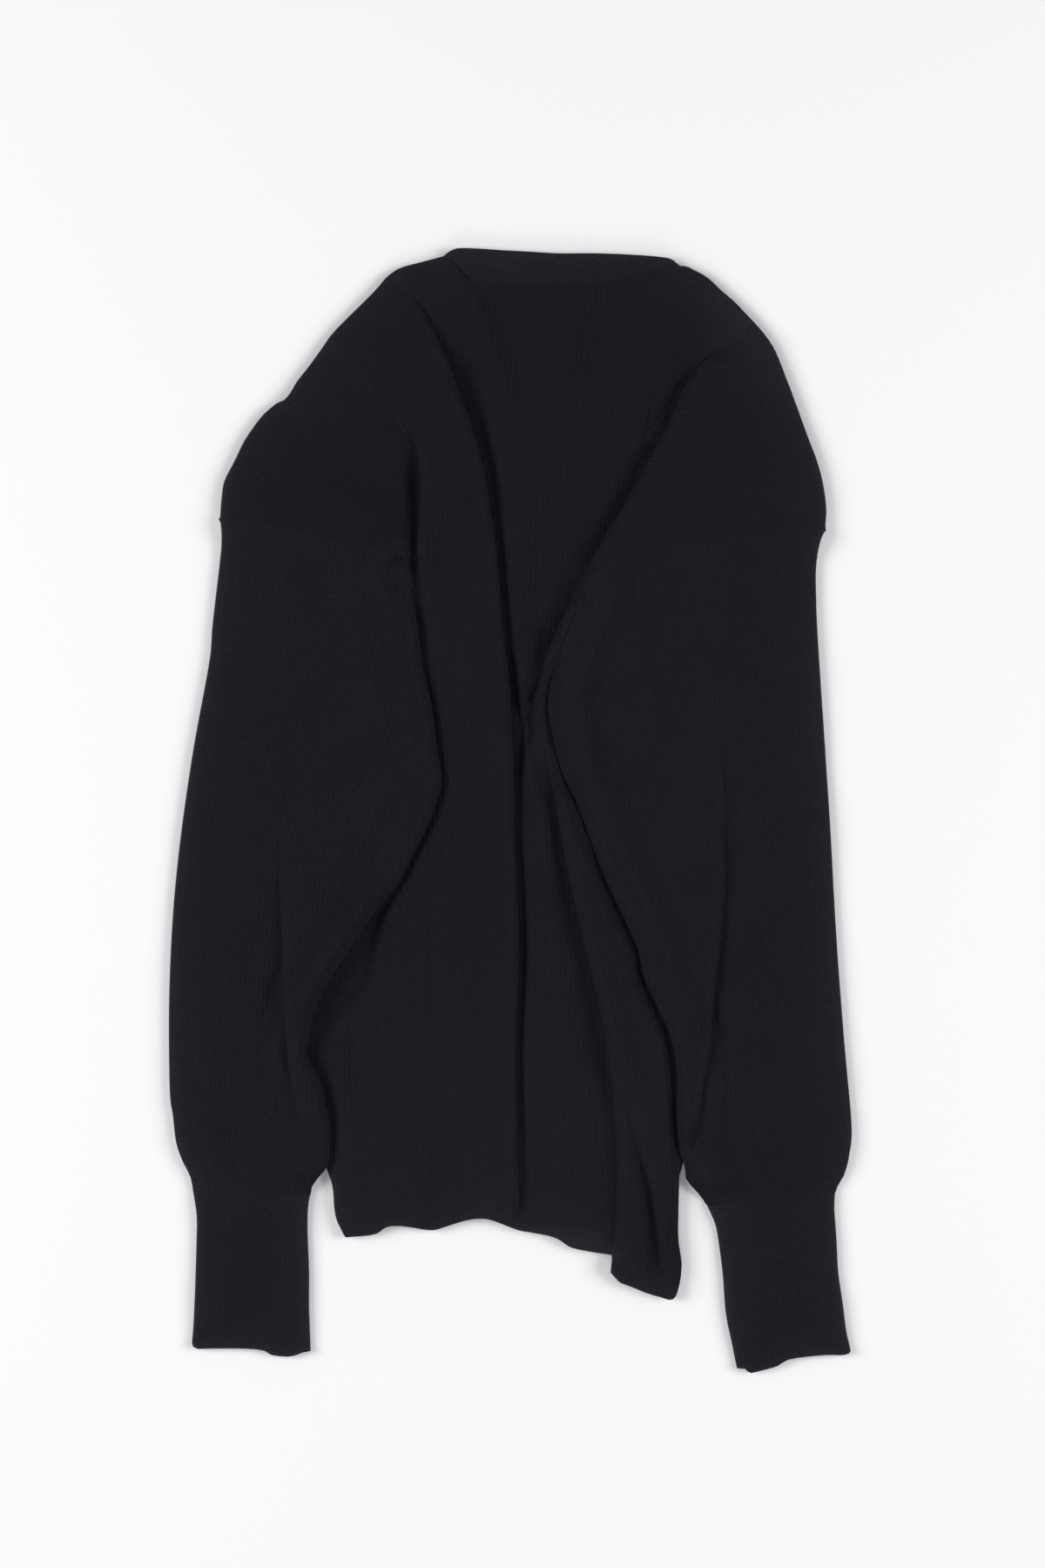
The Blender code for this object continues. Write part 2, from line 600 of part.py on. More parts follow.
def fold_lines():
    """Lines along both sides of every fold, so that its step is kept."""
    lines = []
    for rows, _ in BACK_FOLDS:
        line = smooth(rows, EDGE_STEP)[1:-1]
        for shift in (-LIP_HALF, LIP_HALF):
            lines.append(moved(line, shift))
    for rows in (SLEEVE_LEFT_INNER, SLEEVE_RIGHT_INNER):
        lines.extend(offset_lines(rows, BACK_LOOP, (0.0,), 1, FINE_STEP))
    return lines


def offset_lines(edge, loop, distances, side, step):
    """Lines at set distances inside an edge, cut off short of the outline."""
    lines = []
    for distance in distances:
        line = moved(smooth(edge, step), side * distance)
        rim = np.abs(beside(line, np.vstack([loop, loop[:1]]))[0])
        clear = inside(line, loop) & (rim > RIM_LINE / 2)
        marks = np.flatnonzero(np.diff(np.concatenate([[False], clear, [False]]).astype(int)))
        lines.extend(line[a:b] for a, b in marks.reshape(-1, 2) if b - a > 1)
    return lines


def run_out(line):
    """The line with one more point past each end."""
    before = line[:1] + (line[0] - line[1]) * 0.6
    after = line[-1:] + (line[-1] - line[-2]) * 0.8
    return np.vstack([before, line, after])


def hollow(name, outer, inner, floor, air, collection):
    """The thin space inside a flattened tube, running out past both its ends."""
    first, second = (run_out(paced(edge, TUBE_ROWS)) for edge in (outer, inner))
    width = np.hypot(*(second - first).T)
    bends = [RIDE_END, (RIDE_TO + RIDE_END) / 2, RIDE_TO, (RIDE_TO + HOLLOW_INSET) / 2, HOLLOW_INSET]
    mesh = bmesh.new()
    sheets = []
    for rise in (WALL, WALL + air):
        grid = []
        for a, b, w in zip(first, second, width):
            reach = [w - HOLLOW_INSET, (w + RIDE_END) / 2] + bends
            if w < reach[1] + RIDE_END:
                reach = np.linspace(w - HOLLOW_INSET, HOLLOW_INSET, len(reach))
            xy = np.array([b + (a - b) * r / w for r in reach])
            z = floor(xy) + rise
            grid.append([mesh.verts.new((x * MM, y * MM, h * MM)) for (x, y), h in zip(xy, z)])
        sheets.append(grid)
    low, high = sheets
    columns = len(low[0])
    for i in range(len(low) - 1):
        for j in range(columns - 1):
            mesh.faces.new((low[i][j], low[i][j + 1], low[i + 1][j + 1], low[i + 1][j]))
            mesh.faces.new((high[i][j], high[i + 1][j], high[i + 1][j + 1], high[i][j + 1]))
        for j in (0, columns - 1):
            mesh.faces.new((low[i][j], low[i + 1][j], high[i + 1][j], high[i][j]))
    for i in (0, len(low) - 1):
        for j in range(columns - 1):
            mesh.faces.new((low[i][j], low[i][j + 1], high[i][j + 1], high[i][j]))
    bmesh.ops.recalc_face_normals(mesh, faces=mesh.faces)
    cutter = finished(name, mesh, None, collection)
    cutter.hide_render = True
    cutter.display_type = "WIRE"
    return cutter


def cut(piece, cutter):
    modifier = piece.modifiers.new("open ends", "BOOLEAN")
    modifier.operation = "DIFFERENCE"
    modifier.object = cutter


# ---- Neckband: a strip round the neck, on the back above and down the V beneath ----
BAND_WIDTH = 19.0
BAND_TOP = ((-34, 354), (-21, 354), (-6, 353), (13, 352), (30, 351), (53, 351), (78, 350), (99, 348))
BAND_LOW = ((-21, 334.2), (-13, 333.7), (0, 333.1), (13, 332.9), (30, 333), (53, 333), (68, 334.2), (78, 337))
BAND_UPPER = BACK_TOP + 1.2
# The ends of the strip turn down beside the neck edge: outer x, y, inner x, y, upper side.
BAND_LEFT_END = ((-40.2, 350.7, -24.3, 335.3, WALL), (-39.9, 351.3, -23.8, 336.0, BACK_TOP))
BAND_RIGHT_END = ((106.0, 344.8, 84.3, 339.8, BACK_TOP), (106.6, 343.5, 84.6, 338.9, WALL))
V_TIP = (33.0, 172.0)
V_TOP_LEFT = (-34.0, 330.0)
V_TOP_RIGHT = (100.0, 330.0)
# Rows of the two arms, down the right one and up the left: its top, share of the way up from the tip.
V_ARM_ROWS = (
    (V_TOP_RIGHT, 0.95), (V_TOP_RIGHT, 0.45), (V_TOP_LEFT, 0.0), (V_TOP_LEFT, 0.45), (V_TOP_LEFT, 0.95),
)


def v_arm(top, share):
    """Outer and inner place on one arm of the V, from its tip at 0 to its top at 1."""
    along = np.subtract(top, V_TIP)
    along /= np.hypot(*along)
    inwards = np.array([along[1], -along[0]]) * -np.sign(along[0])
    outer = np.add(V_TIP, np.subtract(top, V_TIP) * share)
    if share == 0:
        return outer, outer + (0.0, BAND_WIDTH / abs(along[0]))
    return outer, outer + inwards * BAND_WIDTH


def neckband(material, collection):
    rows = [BAND_LEFT_END[1][:4] + (0.0, BACK_TOP)]
    for outer, inner in zip(BAND_TOP, BAND_LOW):
        rows.append(outer + inner + (BACK_FLOOR, BAND_UPPER))
    rows += [end[:4] + (0.0, end[4]) for end in BAND_RIGHT_END]
    for top, share in V_ARM_ROWS:
        outer, inner = v_arm(top, share)
        rows.append((*outer, *inner, 0.0, WALL))
    rows.append(BAND_LEFT_END[0][:4] + (0.0, WALL))
    mesh = bmesh.new()
    rings = []
    for ox, oy, ix, iy, low, high in rows:
        corners = ((ox, oy, low), (ox, oy, high), (ix, iy, high), (ix, iy, low))
        rings.append([mesh.verts.new((x * MM, y * MM, z * MM)) for x, y, z in corners])
    for ring, after in zip(rings, rings[1:] + rings[:1]):
        for i in range(4):
            j = (i + 1) % 4
            mesh.faces.new((ring[i], ring[j], after[j], after[i]))
    bmesh.ops.recalc_face_normals(mesh, faces=mesh.faces)
    return finished("neckband", mesh, material, collection)


# ---- Front panel: plain, on the surface, with the V cut out of its top ----
FRONT_INSET = 1.6  # the front's edges lie this far inside the back's
V_NOTCH = ((-39.4, 346), V_TOP_LEFT, V_TIP, V_TOP_RIGHT, (105.9, 340.5))


def front_loop():
    """The back's outline drawn in a little, with the V in place of the neck edge."""
    body = loop_of(
        SHOULDER_RIGHT, SEAM_RIGHT, HIDDEN_RIGHT, FLAP_RIGHT, FLAP_HEM, FLAP_STEP,
        HEM, HEM_CORNER, HIDDEN_LEFT, turned(SEAM_LEFT), SHOULDER_LEFT, step=FRONT_STEP,
    )
    closed = np.vstack([body[-1:], body, body[:1]])
    drawn = moved(closed, -FRONT_INSET)[1:-1]
    notch = moved(np.array(V_NOTCH, float), -2 * SEAM_GAP)
    return np.vstack([notch, drawn[1:-1]])[::-1]


def knit_material(name, shade):
    material = bpy.data.materials.new(name)
    material.use_nodes = True
    shader = next(n for n in material.node_tree.nodes if n.type == "BSDF_PRINCIPLED")
    shader.inputs["Base Color"].default_value = (shade, shade, shade * 1.2, 1.0)
    shader.inputs["Roughness"].default_value = 0.95
    shader.inputs["Metallic"].default_value = 0.0
    return material


def sleeve(side, outer, inner, loop, creases, material, parts, cutters):
    floor = sleeve_floor(inner, SLEEVE_FOOT[side])
    top = tube_top(floor, SLEEVE_FULL, (outer, inner), creases)
    turn = 1 if side == "left" else -1
    rides = offset_lines(inner, loop, (RIDE_TO, RIDE_END), -turn, COARSE_STEP)
    rims = offset_lines(outer, loop, (RIM_LINE,), turn, COARSE_STEP)
    rims += offset_lines(inner, loop, (RIM_LINE,), -turn, COARSE_STEP)
    ribs = tube_ribs(outer, inner, loop, SLEEVE_LEAN[side])
    under = rides + grid_points(loop, GRID_STEP)
    piece = layer(f"sleeve_{side}", loop, top, floor, ribs, rims, under, material, parts)
    cut(piece, hollow(f"inside_of_sleeve_{side}", outer, inner, floor, SLEEVE_AIR, cutters))


def cuff(side, outer, inner, hem, material, parts, cutters):
    seam = (outer[0], inner[0])
    if side == "left":
        loop = loop_of(outer, hem, turned(inner), turned(seam))
    else:
        loop = loop_of(turned(outer), seam, inner, turned(hem))
    top = tube_top(flat(0.0), CUFF_FULL, (outer, inner), ())
    ribs = cuff_ribs(outer, inner, loop)
    piece = layer(f"cuff_{side}", loop, top, flat(0.0), ribs, [], [], material, parts)
    cut(piece, hollow(f"inside_of_cuff_{side}", outer, inner, flat(0.0), CUFF_AIR, cutters))


def main():
    for old in list(bpy.data.objects):
        bpy.data.objects.remove(old, do_unlink=True)
    parts = bpy.data.collections.new("v_neck_sweater")
    cutters = bpy.data.collections.new("cutters")
    bpy.context.scene.collection.children.link(parts)
    bpy.context.scene.collection.children.link(cutters)
    body_knit = knit_material("body knit", 0.014)
    sleeve_knit = knit_material("sleeve knit", 0.015)
    cuff_knit = knit_material("cuff knit", 0.016)
    band_knit = knit_material("neckband knit", 0.018)

    layer("back_panel", BACK_LOOP, back_height, flat(BACK_FLOOR), back_ribs(), fold_lines(), [],
          body_knit, parts)
    layer("front_panel", front_loop(), flat(WALL), flat(0.0), [], [], [], body_knit, parts)
    neckband(band_knit, parts)
    sleeve("left", SLEEVE_LEFT_OUTER, SLEEVE_LEFT_INNER, SLEEVE_LEFT_LOOP, SLEEVE_LEFT_CREASES,
           sleeve_knit, parts, cutters)
    sleeve("right", SLEEVE_RIGHT_OUTER, SLEEVE_RIGHT_INNER, SLEEVE_RIGHT_LOOP, SLEEVE_RIGHT_CREASES,
           sleeve_knit, parts, cutters)
    cuff("left", CUFF_LEFT_OUTER, CUFF_LEFT_INNER, CUFF_LEFT_HEM, cuff_knit, parts, cutters)
    cuff("right", CUFF_RIGHT_OUTER, CUFF_RIGHT_INNER, CUFF_RIGHT_HEM, cuff_knit, parts, cutters)


main()
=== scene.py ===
"""Looks of a v-neck sweater in fine 1x1 rib, laid flat with its back up.

Each knitted piece is one surface over its solid: the ribs are raised in it, the folds of the
back roll over each other, and the stitches are a fine relief in the material. Tables are in
millimetres, x from the middle of the garment, y towards the collar, z up from the floor.
"""

import math

import bpy
import numpy as np
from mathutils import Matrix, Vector
from mathutils.geometry import delaunay_2d_cdt


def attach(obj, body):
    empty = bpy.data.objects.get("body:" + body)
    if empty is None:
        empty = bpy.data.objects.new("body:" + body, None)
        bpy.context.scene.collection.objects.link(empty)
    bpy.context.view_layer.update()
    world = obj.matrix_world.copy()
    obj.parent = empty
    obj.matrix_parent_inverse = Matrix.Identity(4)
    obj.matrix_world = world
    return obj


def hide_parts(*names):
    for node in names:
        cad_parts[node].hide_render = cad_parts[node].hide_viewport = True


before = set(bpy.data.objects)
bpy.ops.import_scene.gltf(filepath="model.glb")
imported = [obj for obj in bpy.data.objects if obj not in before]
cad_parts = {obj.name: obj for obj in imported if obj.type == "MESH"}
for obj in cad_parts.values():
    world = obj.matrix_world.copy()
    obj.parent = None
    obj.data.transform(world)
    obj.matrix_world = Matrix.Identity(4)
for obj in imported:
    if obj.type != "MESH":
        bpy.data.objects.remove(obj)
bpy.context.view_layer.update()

MM = 0.001

# ---- View ----
EYE = (7.7, 16.8, 1800.0)
LENS = 65.45
SENSOR = 36.0

# ---- Knit ----
WALL = 2.0  # one layer of cloth
SEAM_GAP = 0.3
RIB_PITCH = 3.25
RIB_RELIEF = 0.8  # crest above trough
CUFF_RELIEF = 0.8  # share of it on the cuffs
RIB_INSET = 1.1  # ribs stop this far from an edge or a fold
COURSE = 2.3  # length of one stitch along a rib
LINES_A_RIB = 4
WAVES = (1.0, 0.75, 0.55, 0.4, 0.3)  # shares of an unevenness's length and height
WAVES_EACH = 3
PLAIN_MARK = 0.25  # rib number off the ribs: half way from a crest to a trough

# ---- Layers, from the floor up ----
BACK_FLOOR = WALL + SEAM_GAP
BACK_TOP = BACK_FLOOR + WALL
BACK_PUFF = 4.6  # air and tucked cloth under the open stretches of the back
BACK_UNEVEN = (0.35, 120.0, 3)  # height and length of its unevenness, and a seed
DEEPEST = -0.9  # a groove reaches this far under the thickness of one layer
SLEEVE_FULL = 6.5  # upper side of a sleeve
FULL_OVER = 25.0  # a sleeve is full this far above the cuff
SLEEVE_DOME = 2.2  # further rise half way across a sleeve,
DOME_FLAT = 0.7  # flatter the smaller this is,
DOME_OVER = 40.0  # and whole this far above the cuff
SLEEVE_UNEVEN = (0.45, 130.0)
SLEEVE_RIDE = 5.15  # underside of a sleeve where it lies on the body
RIDE_TO = 18.0  # a sleeve rides this far in from its inner edge,
RIDE_END = 30.0  # and is down on the floor from here on
RIDE_FADE = 13.0  # it comes down over this length above the cuff
LIFT_FADE = 20.0  # the yoke's lift at its underarm dies out over this length
CUFF_FULL = 5.4  # upper side of a cuff
CUFF_END = 0.55  # share of its height at the hem
CUFF_UNEVEN = (0.25, 50.0)

# ---- Edges ----
RIM = 1.0  # the outermost line of an edge is this far above its underside
UNDERCUT = 2.2  # the underside of a folded edge starts this far in
CLOTH_ROUND = 1.3  # rounding of a single layer's edge
TUBE_ROUND = 7.0
CUFF_ROUND = 4.0
BODY_ROUND = 11.0
# Up the body a sleeve's inner edge comes even with it: from this y, over this length.
LEFT_FLUSH = (118.0, 34.0)
RIGHT_FLUSH = (82.0, 22.0)
FLUSH_NARROW = 0.96  # how much of its rounding the sleeve loses there
SHARED_ROWS = 6  # rows of a sleeve's inner edge that take up the body's height there
SHARED_REACH, SHARED_STEP = 1.2, 0.3  # taken this far out, and the sleeve this far above it
SEAM_REACH, SEAM_LAP = 0.6, 0.14  # the same at an armhole seam
SEAM_FADE = 20.0  # a sleeve takes up the body's height over this length from its seam
TUCK_FADE = 3.0  # under a sleeve the body's height dies out over this length,
SEAM_HELD = 5.0  # and is gone this far from the seam
SEAM_RIDGE, SEAM_RIDGE_HALF = 0.6, 1.1  # height and half width of the ridge along the seam
SEAM_NEAR = 4.0  # this near to a seam the rounding of the body's edge
SEAM_RIM = 0.55  # starts at this share of its length
COVER_ROUND = 9.0  # the body sinks over this distance towards a sleeve's edge
EDGE_SHARE = 0.15  # share of the body's height that is left at a sleeve's edge
HEM_WAVES = ((0.9, 2.2, 1.7), (-0.5, 7.0, 3.0))  # height, distance from the edge, half width
NECK_ROUND = 10.0
NECK_SHARE = 0.8  # share of the back's height at its neck edge
MOUTH_IN = 8.0  # how far the gap between a cuff's two layers is drawn in
MOUTH_LOW, MOUTH_HIGH = 0.5, 1.1  # its two sides, above the middle of the edge
# Painted sheen along an outer edge, a lighter colour where the fuzzy edge catches the light: share, and
# the length that it dies out over.
PAINTED_SHEEN_FADES = ((0.8, 1.3), (0.4, 12.0))
# Patches of painted light: painted highlights on the shoulders and painted brighter light on the sleeves
# and the lower body: x, y, radius, share.
PAINTED_LIGHT_PATCHES = (
    (136, 323, 20, 0.22), (154, 299, 22, 0.26), (172, 268, 20, 0.14), (-142, 262, 14, 0.1),
    (-120, -190, 110, 0.07), (0, -220, 100, 0.09), (130, -190, 110, 0.09), (150, 40, 90, 0.05),
)

# ---- Mesh spacing ----
RIB_STEP, TUBE_STEP, CUFF_STEP = 2.6, 4.0, 3.0  # along the ribs of back, sleeves and cuffs
OUTLINE_STEP, COARSE_STEP, FRONT_STEP = 2.5, 9.0, 5.0
FOLD_STEP, LINE_STEP = 5.0, 6.0  # of lines that distances are measured to
ROW_STEP, LIP_STEP, EDGE_STEP = 3.0, 4.0, 8.0
DRAW_STEP = 1.3  # along a rib before it is clipped
PIECE_DRAW_STEP = 1.5  # the same on sleeves and cuffs
RIB_START = 3.0  # a sleeve's ribs are drawn from this far above its outer edge
CUFF_ROWS = 24
EDGE_SKIP = 3  # first points of the left sleeve's edge, left out beside the strip
OPEN_NEAR, MOUTH_NEAR = 1.2, 0.6  # a side of an outline this near to a line is open or a mouth
RIM_LINES = (0.35, 0.75)  # lines of points this far inside an edge
LIP_LINES = (-0.35, 0.05, 0.45)  # and beside the foot of a lip
COVER_LINES = (0.1, 1.2, 2.8, 5.0)  # and beside a sleeve's edge, on the body
RIM_CLEAR = 0.96  # lines inside an edge keep this share of their distance from it,
LIP_CLEAR, COVER_CLEAR = 1.2, 1.0  # and the others this distance
CURVE_PARTS = 8  # of a smooth line from one row to the next
BLOCK = 4000  # points whose distances are measured at once
SAME_POINT, SMALLEST = 1e-4, 1e-6

# ---- Outline, edge by edge: rows of x, y ----
NECK_EDGE = ((-40.3, 350), (-32, 341), (-24, 334.2), (8, 332.2), (63, 332.4), (84, 338), (107, 342.4))
SHOULDER_RIGHT = (
    (107, 343.5), (113, 342), (124, 336), (134, 327), (145, 317), (164, 295), (175, 270), (186, 240),
    (195, 215), (199, 193), (198.5, 177),
)
SEAM_RIGHT = (
    (198.5, 176.5), (170, 173), (147, 170), (132, 167), (109, 165), (90, 161), (78, 158), (63, 155),
    (55, 150), (47, 139),
)
HIDDEN_RIGHT = (
    (47, 139), (49, 122), (46, 104), (41, 84), (40, 66), (44, 48), (50, 27), (59, 4), (75, -36),
    (86, -60), (97, -84), (110, -126), (117, -145), (119, -170), (116, -195), (111, -215),
    (106.5, -230),
)
FLAP_RIGHT = ((106.5, -230), (106, -254), (106, -270), (108, -285), (107, -297), (104.5, -306))
FLAP_HEM = ((104.5, -306), (101, -308), (96, -307), (86, -304), (76, -300), (69, -297), (63, -291))
FLAP_STEP = ((63, -291), (64, -280))
HEM = (
    (64, -280), (51, -278), (38, -275), (28, -269), (14, -266), (4, -264), (-12, -258), (-19, -257),
    (-27, -258), (-37, -261), (-47, -264), (-54, -264), (-67, -262), (-77, -262), (-86, -267),
    (-104, -269),
)
HEM_CORNER = ((-104, -269), (-109, -259), (-111, -250), (-112, -237), (-116, -225))
HIDDEN_LEFT = (
    (-116, -225), (-120, -215), (-128, -195), (-136, -170), (-143, -150), (-139, -125), (-124, -95),
    (-100, -55), (-78, -25), (-62, 0), (-57, 18), (-59, 39), (-64, 68), (-70, 100), (-74, 131),
    (-72, 157),
)
SEAM_LEFT = (
    (-183, 183), (-177, 183), (-160, 180), (-139, 176), (-116, 170), (-96, 165), (-81, 162),
    (-72, 157),
)
SHOULDER_LEFT = (
    (-183, 183), (-182, 197), (-180, 208), (-174, 220), (-167, 234), (-157, 248), (-148, 256),
    (-141, 260), (-134, 271), (-127, 280), (-119, 291), (-110, 303), (-86, 327), (-78, 336),
    (-69, 342), (-55, 346), (-40.3, 350),
)
SLEEVE_LEFT_OUTER = (
    (-182.5, 182.4), (-182, 174), (-183, 160), (-188, 117), (-190, 94), (-200, 39), (-208, -16),
    (-213, -66), (-215.4, -121), (-215, -176), (-213, -192), (-211, -209), (-207, -221), (-202, -231),
    (-200, -242),
)
SLEEVE_LEFT_INNER = (
    (-70, 155.5), (-65, 149), (-60.6, 131), (-56.2, 100), (-54.2, 86), (-49.8, 68), (-46, 39),
    (-43.3, 21), (-44.8, 10), (-51.3, -8), (-61, -27), (-71, -46), (-86, -64), (-108, -97),
    (-121, -120), (-127, -144), (-128, -153), (-121, -166), (-117, -181), (-114, -197), (-114, -218),
    (-116, -225), (-120, -230), (-125, -237), (-126, -242),
)
SLEEVE_RIGHT_OUTER = (
    (198, 175.8), (195, 169), (193, 153), (193, 138), (194, 111), (198, 50), (202, -11), (206, -82),
    (211, -148), (215.4, -198), (214, -217), (211, -229), (206, -238), (205, -241.5),
)
SLEEVE_RIGHT_INNER = (
    (47.3, 138.2), (41, 124), (32, 102), (26, 83), (24, 72), (24, 64), (27, 46), (33, 24), (42, 5),
    (49, -14), (57, -36), (68, -60), (80, -86), (84, -104), (94, -126), (102, -145), (105, -170),
    (105, -192), (107, -214), (110, -229), (113, -235), (119, -242), (124, -249),
)
CUFF_LEFT_OUTER = ((-200, -242.3), (-198, -255), (-198, -269), (-199, -302), (-200, -324), (-201, -336))
CUFF_LEFT_INNER = ((-126, -242.3), (-127.5, -249), (-128, -263), (-127, -291), (-127, -313), (-126, -341))
CUFF_LEFT_HEM = (
    (-201, -336), (-197, -339), (-189, -339), (-168, -339), (-156, -340), (-150, -343), (-141, -344),
    (-135, -343), (-130, -341), (-126, -341),
)
CUFF_RIGHT_OUTER = (
    (205, -241.9), (204.5, -250), (205, -258), (206, -272), (207, -291), (210, -312), (212, -328),
    (215, -341),
)
CUFF_RIGHT_INNER = (
    (124, -249.4), (129, -260), (131, -269), (134, -292), (136, -317), (140, -337), (143, -352),
)
CUFF_RIGHT_HEM = (
    (215, -341), (210, -343), (200, -343), (188, -344), (175, -346), (168, -350), (158, -353),
    (151, -354), (147, -351), (143, -352),
)

# ---- Ribs of the yoke: number of the rib, then four x, y that it passes ----
LEFT_YOKE_RIBS = (
    (0, (-181, 185.5), (-139, 178), (-96, 167.5), (-66, 159)),
    (12, (-174, 220), (-135, 208), (-98, 193), (-64, 178)),
    (22, (-157, 248), (-125, 228), (-95, 210), (-64, 193)),
    (32, (-134, 271), (-108, 249), (-85, 230), (-63, 211)),
    (41, (-117, 294), (-95, 272), (-78, 253), (-65, 235)),
)
CENTRE_RIBS = (
    (0, (-66, 350), (-66, 300), (-76, 190), (-89, 50)),
    (43, (74, 345), (70, 300), (60, 190), (47, 50)),
    (51, (104, 347), (98, 312), (93, 280), (86, 240)),
    (56, (124, 338), (113, 312), (107, 290), (100, 255)),
    (62, (146, 319), (130, 302), (122, 290), (112, 274)),
)
RIGHT_YOKE_RIBS = (
    (0, (150, 313), (141, 299), (132, 289), (119, 281)),
    (6, (164, 297), (147, 287), (130, 280), (113, 273)),
    (15, (176, 271), (148, 259), (120, 248), (92, 238)),
    (25, (187, 241), (150, 228), (110, 215), (70, 201)),
    (33, (196, 216), (150, 203), (104, 190), (58, 176)),
    (40, (199.5, 193), (150, 183), (102, 173), (50, 162)),
    (43, (199, 181), (150, 174.5), (102, 167.5), (56, 154)),
)
# Ribs of the body run beside the left fold: rows of its rib and of the one 18 ribs to the left.
STRIP_RIBS = 18
BODY_RIBS = (
    ((-78, 337), (-114, 299)), ((-63, 326), (-98, 281)), ((-42, 297), (-80, 260)),
    ((-29, 268), (-67, 241)), ((-22, 249), (-62, 226)), ((-16, 228), (-60, 208)),
    ((-11, 206), (-60, 190)), ((-8, 186), (-61, 172)), ((-4, 142), (-61, 136)), ((1, 84), (-56, 82)),
    ((6, 40), (-51, 40)), ((6, -20), (-51, -20)), ((7, -86), (-51, -86)), ((7, -148), (-51, -148)),
    ((7, -203), (-50, -203)), ((6, -275), (-50, -275)),
)
SIDE_FROM = 7  # ribs further left than the strip start at this row
SIDE_RIBS = 46  # the last rib of the body, counted leftwards from the left fold
# Between the left fold and the low fold the ribs run down from LOW_STRIP_TOP, and right of
# the low fold they start under the right fold.
LOW_FOLD_FROM = 56.0
LOW_STRIP_TOP = 46.0
LOW_STRIP_RIBS = 18
RIGHT_STRIP_HEAD = ((-4, 150), (9, 90))
RIGHT_STRIP_FOOT = (64, -330)
RIGHT_STRIP_TOP = 128.0
RIGHT_STRIP_RIBS = 22
# Above the left strip its edge runs out over the shoulder.
STRIP_HEAD = ((-114, 298), (-90, 270))
SLEEVE_RIBS = 50
SLEEVE_LEAN = {"left": 0.05, "right": 0.10}  # the innermost rib leans in this much a millimetre
SLEEVE_FOOT = {"left": -240.0, "right": -245.0}  # y where a sleeve is down on the surface
CUFF_RIBS = 23
CUFF_DRAW = 0.25  # share of the sleeve's width that is drawn in at the cuff,
GATHER_FROM = -185.0  # from this y
GATHER_OVER = 55.0  # over this length
GATHER_LOSS = 0.45  # share of the ribs' relief that is lost there
GATHERS = ((7.5, 1.0), (13.0, 0.6))  # waves of cloth above the cuff: how many across, share
GATHER_RISE = 0.22
GATHER_FADE = 45.0  # they die out over this length above the cuff
GATHER_START = 8.0  # and start over this one

# ---- Folds as grooves ----
LIP_ROLL = 5.0  # radius of the rolled upper side of a fold
LIP_REACH = 24.0  # half width of its rise
LIP_OVER = 1.8  # how far it overhangs,
LIP_STRONG = 8.0  # from this sum of lip and depth on
FLOOR_SHARE = 0.3  # the other side slopes up from this share of half the width
DEEP = {"back": 4.0, "sleeve": 3.0}  # the ribs are faintest in a groove of this depth,
DEEP_LOSS = 0.7  # where they lose this share of their relief

# The line of a groove with, for each row, the height of the lip above it, its depth, half
# its width, and how far its other side slopes.
GROOVE_LEFT = (
    (-63, 331, 0, 0, 1, 9), (-54, 317, 1.5, 1.5, 2, 9), (-42, 298, 3.5, 3, 4.2, 10),
    (-34, 283, 5.5, 4.2, 5.6, 11), (-28.5, 267, 6.5, 5, 5.6, 10), (-22, 248.5, 6, 5.4, 5.2, 9),
    (-16.5, 228, 5, 5.2, 4.6, 8), (-12, 206, 4.2, 4.8, 3.8, 7), (-6.5, 163, 3.4, 4.4, 3.2, 6),
    (-1.8, 111, 2.6, 4.2, 2.8, 5), (0.8, 88, 3.6, 5.4, 3, 5), (2.9, 62, 4.8, 6.4, 3.2, 5),
    (3.8, 45, 5, 6.6, 3.4, 5), (4.4, 30, 4.4, 6.2, 3.3, 5), (4.8, 10, 3, 4.8, 3.2, 6),
    (5.2, -20, 2.5, 4.6, 3.2, 6), (7.6, -86, 3, 4.8, 3.0, 5), (5.8, -148, 2, 4.2, 2.8, 5),
    (6.8, -203, 1.8, 3.8, 2.8, 5), (7.5, -247, 1.4, 3, 2.4, 5), (3, -262, 1, 1, 2, 5),
)
GROOVE_STRIP = (
    (-66, 242, 0, 0, 1, 8), (-61, 229, 2, 2.4, 2.2, 9), (-59, 214, 4.5, 4.6, 3.2, 8),
    (-59.6, 200, 5, 5.2, 3.6, 7), (-59.8, 181, 4.2, 4.8, 3.2, 6), (-60.4, 167, 3.5, 4.4, 2.8, 6),
    (-59.5, 148, 2.4, 3.4, 2.4, 5), (-57.5, 130, 1.6, 2.4, 2.4, 5), (-55, 110, 0.6, 1.4, 2.2, 5),
    (-53, 95, 0, 0, 2, 5),
)
GROOVE_RIGHT = (
    (141, 296, 0, 0, 1, 10), (124, 287, 2, 1.5, 2, 10), (114, 277, 3.5, 3, 2.6, 10),
    (105.6, 261.7, 4.8, 4, 2.8, 10), (97.2, 243.3, 5.4, 4.2, 2.8, 10), (75, 202, 5.6, 4.2, 2.8, 12),
    (54, 167, 5.6, 4.8, 2.8, 15), (45, 152, 5.4, 5, 2.8, 16), (36, 133, 5, 5.6, 3, 17),
    (28, 116, 4.6, 6, 3, 15), (20.5, 99, 4, 5.4, 3, 10), (16.6, 84, 3.2, 5.4, 2.8, 8),
    (13.4, 72, 2.6, 5.2, 2.6, 5.5), (11, 61, 1.8, 4.8, 2.6, 5.5), (10, 49, 1, 4, 2.6, 5.5),
    (9.8, 38, 0.4, 2.4, 2.4, 5), (9.8, 28, 0, 0, 2, 5),
)
